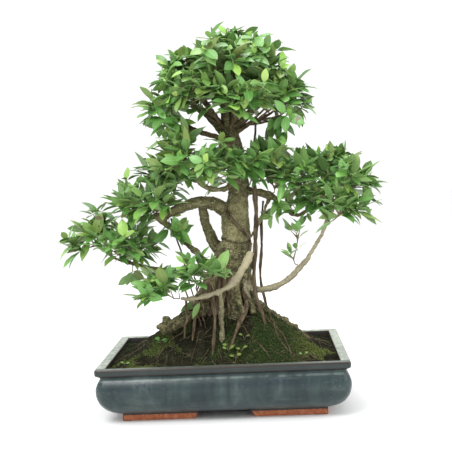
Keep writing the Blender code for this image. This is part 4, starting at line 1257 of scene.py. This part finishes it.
def leaf_matrix(base, tip, up, half_width):
    """Turns a unit leaf to run from base to tip with its face to `up`."""
    along = tip - base
    length = along.length
    along.normalize()
    up = (up - along * up.dot(along)).normalized()
    side = along.cross(up)
    turn = Matrix((side, along, up)).transposed().to_4x4()
    wide = half_width * 2 / LEAF_WIDTH * 1.06
    size = Matrix.Diagonal((wide, length * 1.03, length, 1))
    return Matrix.Translation(base) @ turn @ size


class Foliage:
    """Leaf shapes, where a leaf may go, and the leaves and stems grown so far on one spray."""

    def __init__(self, wood, packed_leaves):
        self.shapes = [
            model_leaf("leaf_flat", 0.10, 0.040, 0.0),
            model_leaf("leaf_folded", 0.38, 0.055, 0.10),
            model_leaf("leaf_twisted", 0.20, 0.070, -0.30),
            model_leaf("leaf_cupped", -0.16, 0.060, 0.15),
            model_leaf("leaf_slim", 0.26, 0.030, 0.22, width=0.44),
        ]
        self.wood = tree_of(wood)
        self.knuckle = crown_knuckle()
        self.low, self.high = cad_box_corners()
        self.near = KDTree(len(packed_leaves) * 2)
        for index, (base, tip, _, _) in enumerate(packed_leaves):
            self.near.insert(base.lerp(tip, 0.5), index * 2)
            self.near.insert(tip, index * 2 + 1)
        self.near.balance()
        self.leaves, self.stems = [], []

    def fits(self, base, tip, reach=0.030):
        """Whether a leaf from base to tip stays in the model's box, near packed leaves and off the wood."""
        inside = all(self.low[i] <= tip[i] <= self.high[i] for i in range(3))
        aside = Vector((tip.x - self.knuckle.x, tip.y - self.knuckle.y)).length
        if aside < 0.085 and -0.012 < tip.z - self.knuckle.z < 0.060 - 0.25 * aside:
            return False
        clear = all(self.wood.find_nearest(p, 0.004)[0] is None for p in (base.lerp(tip, 0.6), tip))
        return inside and clear and self.near.find(tip)[2] < reach

    def add(self, base, tip, up, half_width, tone):
        shape = self.shapes[shuffle.randrange(len(self.shapes))]
        mesh = shape.data.copy()
        mesh.transform(leaf_matrix(base, tip, up, half_width))
        leaf = bpy.data.objects.new("leaf", mesh)
        bpy.context.scene.collection.objects.link(leaf)
        count = len(mesh.vertices)
        set_values(leaf, "tone", np.full(count, tone))
        set_values(leaf, "cast", np.full(count, shuffle.random() ** 4))
        set_values(leaf, "spot", np.full(count, float(shuffle.random() < 0.07)))
        self.leaves.append(leaf)

    def shoot(self, base, direction, length, reach=0.034):
        """A short side shoot: a stem that bends upwards, leaves along it and a whorl at its end."""
        middle = base + direction * length * 0.55
        rise = (direction + Vector((0, 0, 0.45))).normalized()
        end = middle + rise * length * 0.45
        if not self.fits(base, end, reach):
            return False
        route = [(base, 0.0012), (base.lerp(middle, 0.5), 0.0011), (middle, 0.0010), (end, 0.0007)]
        spin = shuffle.uniform(0, 6.28)
        grown = 0
        for place, count in ((middle, 2), (end, shuffle.choice((4, 4, 5)))):
            for number in range(count):
                spin += 2.4 + shuffle.uniform(-0.3, 0.3)
                young = place is end and number == count - 1
                grown += self.whorl_leaf(place, rise, spin, young, reach)
        if grown:
            self.stems.append(route)
        return grown > 0

    def whorl_leaf(self, place, stem, spin, young, reach):
        across = stem.orthogonal().normalized()
        across.rotate(Quaternion(stem, spin))
        spread = 0.35 if young else shuffle.uniform(0.75, 1.5)
        sink = Vector((0, 0, 0 if young else shuffle.uniform(-1.0, 0.0)))
        along = (stem * 0.6 + across * spread + sink).normalized()
        length = shuffle.uniform(0.028, 0.046) * (0.7 if young else 1)
        tip = place + along * length
        if not self.fits(place, tip, reach):
            return 0
        up = stem - along * stem.dot(along) + Vector((0, 0, 0.3)) + random_vector(0.35)
        tone = shuffle.uniform(0.75, 1.0) if young else leaf_tone()
        self.add(place, tip, up, length * shuffle.uniform(0.21, 0.27), tone)
        return 1


def random_vector(size):
    return Vector([shuffle.uniform(-size, size) for _ in range(3)])


def cad_box_corners():
    low = Vector([min(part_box(name)[0][i] for name in nodes) for i in range(3)])
    high = Vector([max(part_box(name)[1][i] for name in nodes) for i in range(3)])
    return low, high


def leaf_tone():
    """Mostly mid and dark green, a few young leaves."""
    draw = shuffle.random()
    if draw < 0.10:
        return shuffle.uniform(0.78, 1.0)
    if draw < 0.50:
        return shuffle.uniform(0.42, 0.75)
    return shuffle.uniform(0.05, 0.5)


def extra_leaf(base, tip, up, half_width):
    """A smaller leaf from the same shoot, turned away from the given one."""
    along = tip - base
    turn = Matrix.Rotation(shuffle.choice((-1, 1)) * shuffle.uniform(0.75, 1.5), 3, up)
    tilt_axis = up.cross(along).normalized()
    tilt = Matrix.Rotation(shuffle.uniform(-0.7, 0.7), 3, tilt_axis)
    share = shuffle.uniform(0.60, 0.95)
    direction = turn @ (tilt @ along) * share + Vector((0, 0, -0.25 * along.length))
    facing = (turn @ (tilt @ up)) + Vector((0, 0, 0.5))
    start = base + along.normalized() * shuffle.uniform(-0.002, 0.001)
    return start, start + direction, facing, half_width * share


def loose_places(node):
    """Where this spray gets a few more shoots: on bare wood near it, or at the ends of its limbs."""
    places = list(limb_ends.get(node, ()))
    for branch, along in LOOSE_SHOOTS.get(node, ()):
        low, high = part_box(branch)
        aim = Vector((low.x + (high.x - low.x) * along, low.y - 0.05, (low.z + high.z) / 2))
        spot = tree_of(nodes[branch]).find_nearest(aim)
        places.append(spot[0] + spot[1] * 0.001)
    return places


def model_spray(node, spray, found, foliage):
    """The spray's twig, its packed leaves in full detail, and more leaves and shoots between them."""
    foliage.leaves, foliage.stems = [], []
    twig = [v.co.copy() for v in spray.data.vertices]
    middle = sum((leaf[0] for leaf in found), Vector()) / len(found) - Vector((0, 0, 0.03))
    modify(spray, "SUBSURF", levels=1, render_levels=1)
    for leaf in found:
        foliage.add(*leaf, leaf_tone())
        for attempt in range(0 if node in BARE_TWIGS else 6):
            place = extra_leaf(*leaf)
            if foliage.fits(place[0], place[1]):
                foliage.add(*place, leaf_tone())
                break
    grown = 0
    for attempt in range(len(found) * 6):
        if grown >= len(found) * SHOOTS_PER_LEAF or node in BARE_TWIGS:
            break
        base = twig[shuffle.randrange(len(twig))]
        outward = (base - middle).normalized()
        direction = (outward * 0.6 + random_vector(0.9) + Vector((0, 0, 0.25))).normalized()
        grown += foliage.shoot(base, direction, shuffle.uniform(0.014, 0.040))
    for base in loose_places(node):
        direction = (base - middle).normalized() + random_vector(0.7)
        for _ in range(6):
            if foliage.shoot(base, direction.normalized(), shuffle.uniform(0.016, 0.034), 0.10):
                break
            direction = random_vector(1.0) + Vector((0, -0.4, 0))
    leaves = join(f"{node}_blades", foliage.leaves)
    leaves.data.materials.clear()
    leaves.data.materials.append(finish_of("fig_leaf", leaf_paint))
    parts = [spray] + ([strands(f"{node}_stems", foliage.stems, sides=1)] if foliage.stems else [])
    stems = join(f"{node}_twigs", parts)
    stems.data.materials.clear()
    stems.data.materials.append(finish_of("young_shoot", shoot_paint))
    smooth(stems, 60)
    count = len(foliage.leaves)
    whole = join(f"{node}_leaves", [stems, leaves])
    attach(whole, "root")
    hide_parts(node)
    return count


def model_foliage(wood):
    sprays, packed = {}, []
    for node in sorted(n for n in nodes if "spray" in n or n == "right_twig"):
        copy = own_copy(nodes[node], f"{node}_twig")
        found = leaves_in(copy)
        sprays[node] = (copy, found)
        packed += found
    foliage = Foliage(wood, packed)
    total = sum(model_spray(node, *made, foliage) for node, made in sprays.items())
    print("leaves", total, "packed", len(packed))
    drop(*foliage.shapes)


def bent_route(start, bend, end, thick, thin):
    """A crooked line from start to end, drawn towards the bend, that tapers."""
    route = []
    for step in range(13):
        t = step / 12
        place = start * (1 - t) ** 2 + bend * 2 * t * (1 - t) + end * t**2
        route.append((place + random_vector(0.0012), thick + (thin - thick) * t))
    return route


def crown_knuckle():
    """Where the crown's branches leave the trunk."""
    top = axis_at(TRUNK_HIGH.z - 0.03)
    names = [n for n in nodes if n.startswith("crown_branch")]
    for name in names:
        a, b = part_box(name)
        top += (Vector(((a.x + b.x) / 2, (a.y + b.y) / 2, top.z)) - top) * 0.12
    return top


def model_crown_fan():
    """Bare twigs that fan out from the knuckle at the trunk's top into the crown's leaves."""
    knuckle = crown_knuckle()
    routes = []
    for name in sorted(n for n in nodes if n.startswith("crown_spray")):
        a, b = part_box(name)
        heart = (a + b) / 2
        start = knuckle + Vector((shuffle.uniform(-0.012, 0.012), shuffle.uniform(-0.012, 0.012), 0))
        fork = start.lerp(heart, 0.55) + random_vector(0.008)
        limb = (start + fork) / 2 + (heart - knuckle).normalized().cross(Vector((0, 1, 0))) * 0.004
        routes.append(bent_route(start, limb, fork, 0.0062, 0.0040))
        for _ in range(6):
            aim = Vector([shuffle.uniform(a[i] * 0.7 + b[i] * 0.3, a[i] * 0.3 + b[i] * 0.7) for i in range(3)])
            origin = start.lerp(fork, shuffle.choice((0.45, 0.75, 1.0, 1.0)))
            bend = origin.lerp(aim, 0.5) + random_vector(0.014)
            routes.append(bent_route(origin, bend, aim, shuffle.uniform(0.0020, 0.0034), 0.0009))
            limb_ends.setdefault(name, []).append(aim)
    fan = strands("crown_twigs", routes)
    dress(fan, twig_paint, "pale_bark_twigs")


# ------------------------------------------------------------------ soil and moss


def ground_heights(xs, ys):
    """Height and moss share of the ground at each grid point, seen from above and filled in under the wood."""
    soil = tree_of(nodes["soil"])
    moss = [tree_of(nodes["moss_left"]), tree_of(nodes["moss_right"])]
    wood = [tree_of(nodes[name]) for name in PALE_WOOD + DARK_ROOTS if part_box(name)[0].z < 0.25]
    top = 0.30
    height = np.zeros((len(ys), len(xs)))
    known = np.zeros(height.shape, bool)
    green = np.zeros(height.shape)
    for row, y in enumerate(ys):
        for column, x in enumerate(xs):
            start = Vector((x, y, top))
            down = Vector((0, 0, -1))
            hit = soil.ray_cast(start, down)
            if hit[0] is None:
                continue
            z = hit[0].z
            for patch in moss:
                found = patch.ray_cast(start, down)
                if found[0] is not None and found[0].z > z - 0.0005:
                    z = found[0].z
                    green[row, column] = 1.0
            near_wood = any(
                tree.find_nearest(Vector((x, y, z)), 0.004)[0] is not None for tree in wood
            )
            covered = any(
                (tree.ray_cast(Vector((x, y, z - 0.01)), Vector((0, 0, 1)), 0.02)[0] is not None)
                for tree in wood
            )
            if near_wood or covered or hit[1].z < 0.35:
                continue
            height[row, column] = z
            known[row, column] = True
    return fill_gaps(height, known), green


def fill_gaps(height, known):
    """Unknown heights relaxed from their neighbours."""
    filled = np.where(known, height, height[known].mean())
    for _ in range(400):
        padded = np.pad(filled, 1, mode="edge")
        mean = (padded[:-2, 1:-1] + padded[2:, 1:-1] + padded[1:-1, :-2] + padded[1:-1, 2:]) / 4
        filled = np.where(known, height, mean)
    return filled


def blurred(grid, passes):
    """The grid with its edges softened."""
    for _ in range(passes):
        padded = np.pad(grid, 1, mode="edge")
        grid = (padded[:-2, 1:-1] + padded[2:, 1:-1] + padded[1:-1, :-2] + padded[1:-1, 2:]) / 4
    return grid


def model_ground():
    """The soil's surface as a fine grid laid on the packed soil, lumpy, with a skirt down the tray."""
    low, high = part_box("soil")
    columns, rows = 230, 160
    bpy.ops.object.select_all(action="DESELECT")
    bpy.ops.mesh.primitive_grid_add(x_subdivisions=columns, y_subdivisions=rows, size=1)
    ground = bpy.context.object
    ground.name = "soil_surface"
    in_x, in_y = 0.0205, 0.0205
    size_x = POT_HIGH.x - POT_LOW.x - 2 * in_x
    size_y = POT_HIGH.y - POT_LOW.y - 2 * in_y
    ground.scale = (size_x, size_y, 1)
    ground.location = POT_CENTRE
    settle(ground)
    points = points_of(ground)
    step = 4
    xs = np.linspace(POT_CENTRE.x - size_x / 2 + 0.003, POT_CENTRE.x + size_x / 2 - 0.003, columns // step * 2)
    ys = np.linspace(POT_CENTRE.y - size_y / 2 + 0.003, POT_CENTRE.y + size_y / 2 - 0.003, rows // step * 2)
    height, green = ground_heights(xs, ys)
    z = sample(height, xs, ys, points)
    moss = sample(blurred(green, 6), xs, ys, points)
    lumps = np.array([noise.noise(Vector((p[0] * 60, p[1] * 60, 3.0))) for p in points])
    crumbs = np.array([noise.noise(Vector((p[0] * 210, p[1] * 210, 9.0))) for p in points])
    grit = np.array([noise.noise(Vector((p[0] * 480, p[1] * 480, 5.0))) for p in points])
    points[:, 2] = z + lumps * 0.0026 + crumbs * 0.0026 + grit * 0.0014
    put_points(ground, points)
    set_values(ground, "moss", moss_spread(points, moss))
    set_values(ground, "painted_light", painted_light_share(points))
    in_edit(ground)
    bpy.ops.mesh.select_all(action="SELECT")
    bpy.ops.mesh.region_to_loop()
    bpy.ops.mesh.extrude_region_move(TRANSFORM_OT_translate={"value": (0, 0, -0.02)})
    bpy.ops.mesh.edge_face_add()
    bpy.ops.mesh.select_all(action="SELECT")
    bpy.ops.mesh.normals_make_consistent(inside=False)
    leave_edit()
    ground.data.materials.clear()
    ground.data.materials.append(soil_paint())
    smooth(ground, 80)
    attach(ground, "root")
    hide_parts("soil")
    return ground


def sample(grid, xs, ys, points):
    """The grid's value at each point, between its samples."""
    fx = np.clip((points[:, 0] - xs[0]) / (xs[1] - xs[0]), 0, len(xs) - 1.001)
    fy = np.clip((points[:, 1] - ys[0]) / (ys[1] - ys[0]), 0, len(ys) - 1.001)
    ix, iy = fx.astype(int), fy.astype(int)
    ax, ay = fx - ix, fy - iy
    low = grid[iy, ix] * (1 - ax) + grid[iy, ix + 1] * ax
    high = grid[iy + 1, ix] * (1 - ax) + grid[iy + 1, ix + 1] * ax
    return low * (1 - ay) + high * ay


def moss_spread(points, moss):
    """Moss fades with patchy noise, and grows more over the mound and towards the right."""
    patches = np.array([noise.fractal(Vector((p[0] * 22, p[1] * 22, 1.5)), 1.0, 2.0, 4) for p in points])
    slope = np.clip((points[:, 2] - SOIL_EDGE_Z) / 0.04, 0, 1)
    right = np.clip((points[:, 0] - POT_CENTRE.x) / 0.06, 0, 1)
    return np.clip(moss * 0.34 + 0.34 + slope * 0.08 + right * 0.08 + patches * 0.85, 0, 1)


def painted_light_share(points):
    """Painted light: moss is brighter and yellower at the left front and down the right flank."""
    across = (points[:, 0] - POT_CENTRE.x) / 0.24
    front = np.clip((POT_CENTRE.y - points[:, 1]) / 0.10, 0, 1)
    return np.clip(np.clip(-across * 2.2 - 0.5, 0, 1) * front + np.clip(across * 4.0 - 2.2, 0, 1), 0, 1)


def cover_moss(ground):
    """Small tufts of moss scattered where the moss value is high."""
    tree = tree_of(ground)
    values = np.zeros(len(ground.data.vertices), np.float32)
    ground.data.attributes["moss"].data.foreach_get("value", values)
    points = points_of(ground)
    painted_light = painted_light_share(points)
    bpy.ops.object.select_all(action="DESELECT")
    bpy.ops.mesh.primitive_cone_add(vertices=4, radius1=0.5, radius2=0.12, depth=1, location=(0, 0, 0.3))
    tuft = bpy.context.object
    settle(tuft)
    made = {"moss_left": [], "moss_right": []}
    strong = np.nonzero((values > 0.55) & (points[:, 2] > SOIL_EDGE_Z - 0.004))[0]
    for _ in range(2600):
        index = int(strong[shuffle.randrange(len(strong))])
        place = Vector(points[index]) + Vector((shuffle.uniform(-1, 1), shuffle.uniform(-1, 1), 0)) * 0.001
        hit = tree.ray_cast(place + Vector((0, 0, 0.03)), Vector((0, 0, -1)))
        if hit[0] is None:
            continue
        lean = Vector((shuffle.uniform(-0.6, 0.6), shuffle.uniform(-0.6, 0.6), 1)) + hit[1]
        turn = lean.to_track_quat("Z", "Y").to_matrix().to_4x4()
        size = shuffle.uniform(0.0012, 0.0026)
        mesh = tuft.data.copy()
        mesh.transform(Matrix.Translation(hit[0]) @ turn @ Matrix.Diagonal((size, size, size * 1.5, 1)))
        obj = bpy.data.objects.new("tuft", mesh)
        bpy.context.scene.collection.objects.link(obj)
        set_values(obj, "painted_light", np.full(len(mesh.vertices), painted_light[index]))
        set_values(obj, "tip", [1.0 if v.co.z > hit[0].z + size * 0.6 else 0.0 for v in mesh.vertices])
        made["moss_left" if place.x < POT_CENTRE.x else "moss_right"].append(obj)
    drop(tuft)
    for node, tufts in made.items():
        cover = join(f"{node}_tufts", tufts)
        cover.data.materials.clear()
        cover.data.materials.append(finish_of("moss", moss_paint))
        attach(cover, "root")
        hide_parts(node)


# (place as shares of the tray's half length and half depth, leaves, leaf length, tone, tiredness)
WEEDS = (
    (-0.520, -0.36, 3, 0.013, 0.20, 0.1),
    (-0.505, -0.38, 2, 0.010, 0.35, 0.1),
    (0.045, -0.60, 4, 0.0105, 0.00, 0.9),
    (0.105, -0.68, 3, 0.0105, 0.00, 1.0),
    (0.150, -0.60, 3, 0.0100, 0.00, 0.9),
    (0.175, -0.48, 2, 0.0090, 0.05, 0.9),
    (-0.780, -0.70, 3, 0.0080, 0.30, 0.3),
    (0.640, -0.62, 2, 0.0080, 0.25, 0.4),
    (0.420, 0.55, 3, 0.0110, 0.30, 0.3),
)


def model_weeds(ground):
    """Seedlings and clover-like weeds that have come up in the moss."""
    earth = tree_of(ground)
    blade = model_leaf("weed_leaf", 0.15, 0.05, 0.0, width=0.62)
    half = Vector(((POT_HIGH.x - POT_LOW.x) / 2, (POT_HIGH.y - POT_LOW.y) / 2, 0))
    leaves, stems = [], []
    for x, y, count, length, tone, tired in WEEDS:
        start = Vector((POT_CENTRE.x + half.x * x, POT_CENTRE.y + half.y * y, 0.4))
        foot = earth.ray_cast(start, Vector((0, 0, -1)))[0]
        for number in range(count):
            spin = 2 * math.pi * number / count + shuffle.uniform(0, 1)
            away = Vector((math.cos(spin), math.sin(spin), 0))
            top = foot + Vector((0, -0.002, shuffle.uniform(0.006, 0.013))) + away * 0.003
            tip = top + (away + Vector((0, -0.3, 0.25))).normalized() * length
            stems.append([(foot, 0.0006), (foot.lerp(top, 0.5), 0.0006), (top, 0.0005)])
            mesh = blade.data.copy()
            mesh.transform(leaf_matrix(top, tip, Vector((0, -0.6, 1)) + random_vector(0.3), length * 0.30))
            leaf = bpy.data.objects.new("weed", mesh)
            bpy.context.scene.collection.objects.link(leaf)
            for name, value in (("tone", tone), ("cast", tired), ("spot", float(tired > 0.8))):
                set_values(leaf, name, np.full(len(mesh.vertices), value))
            leaves.append(leaf)
    drop(blade)
    dress(join("weed_leaves", leaves), leaf_paint, "fig_leaf", 60)
    dress(strands("weed_stems", stems, 1), thread_paint, "dry_threads")


# ------------------------------------------------------------------ putting it together


def add_floor():
    bpy.ops.object.select_all(action="DESELECT")
    bpy.ops.mesh.primitive_circle_add(vertices=96, radius=14, fill_type="NGON", location=(0, 0, -0.0002))
    floor = bpy.context.object
    floor.name = "floor"
    settle(floor)
    floor.data.materials.append(floor_paint())


def dress_screens():
    paint = screen_paint()
    for name in ("drainage_mesh_left", "drainage_mesh_right"):
        nodes[name].data.materials.clear()
        nodes[name].data.materials.append(paint)


def main():
    add_camera()
    light_studio()
    add_floor()
    model_tray()
    dress_screens()
    ground = model_ground()
    cover_moss(ground)
    model_weeds(ground)
    wood = model_wood()
    for node, count in zip(DARK_ROOTS, (3, 2, 2, 2, 2)):
        model_hanging_root(node, count)
    model_thin_roots(ground)
    model_crown_fan()
    model_foliage(wood)


main()
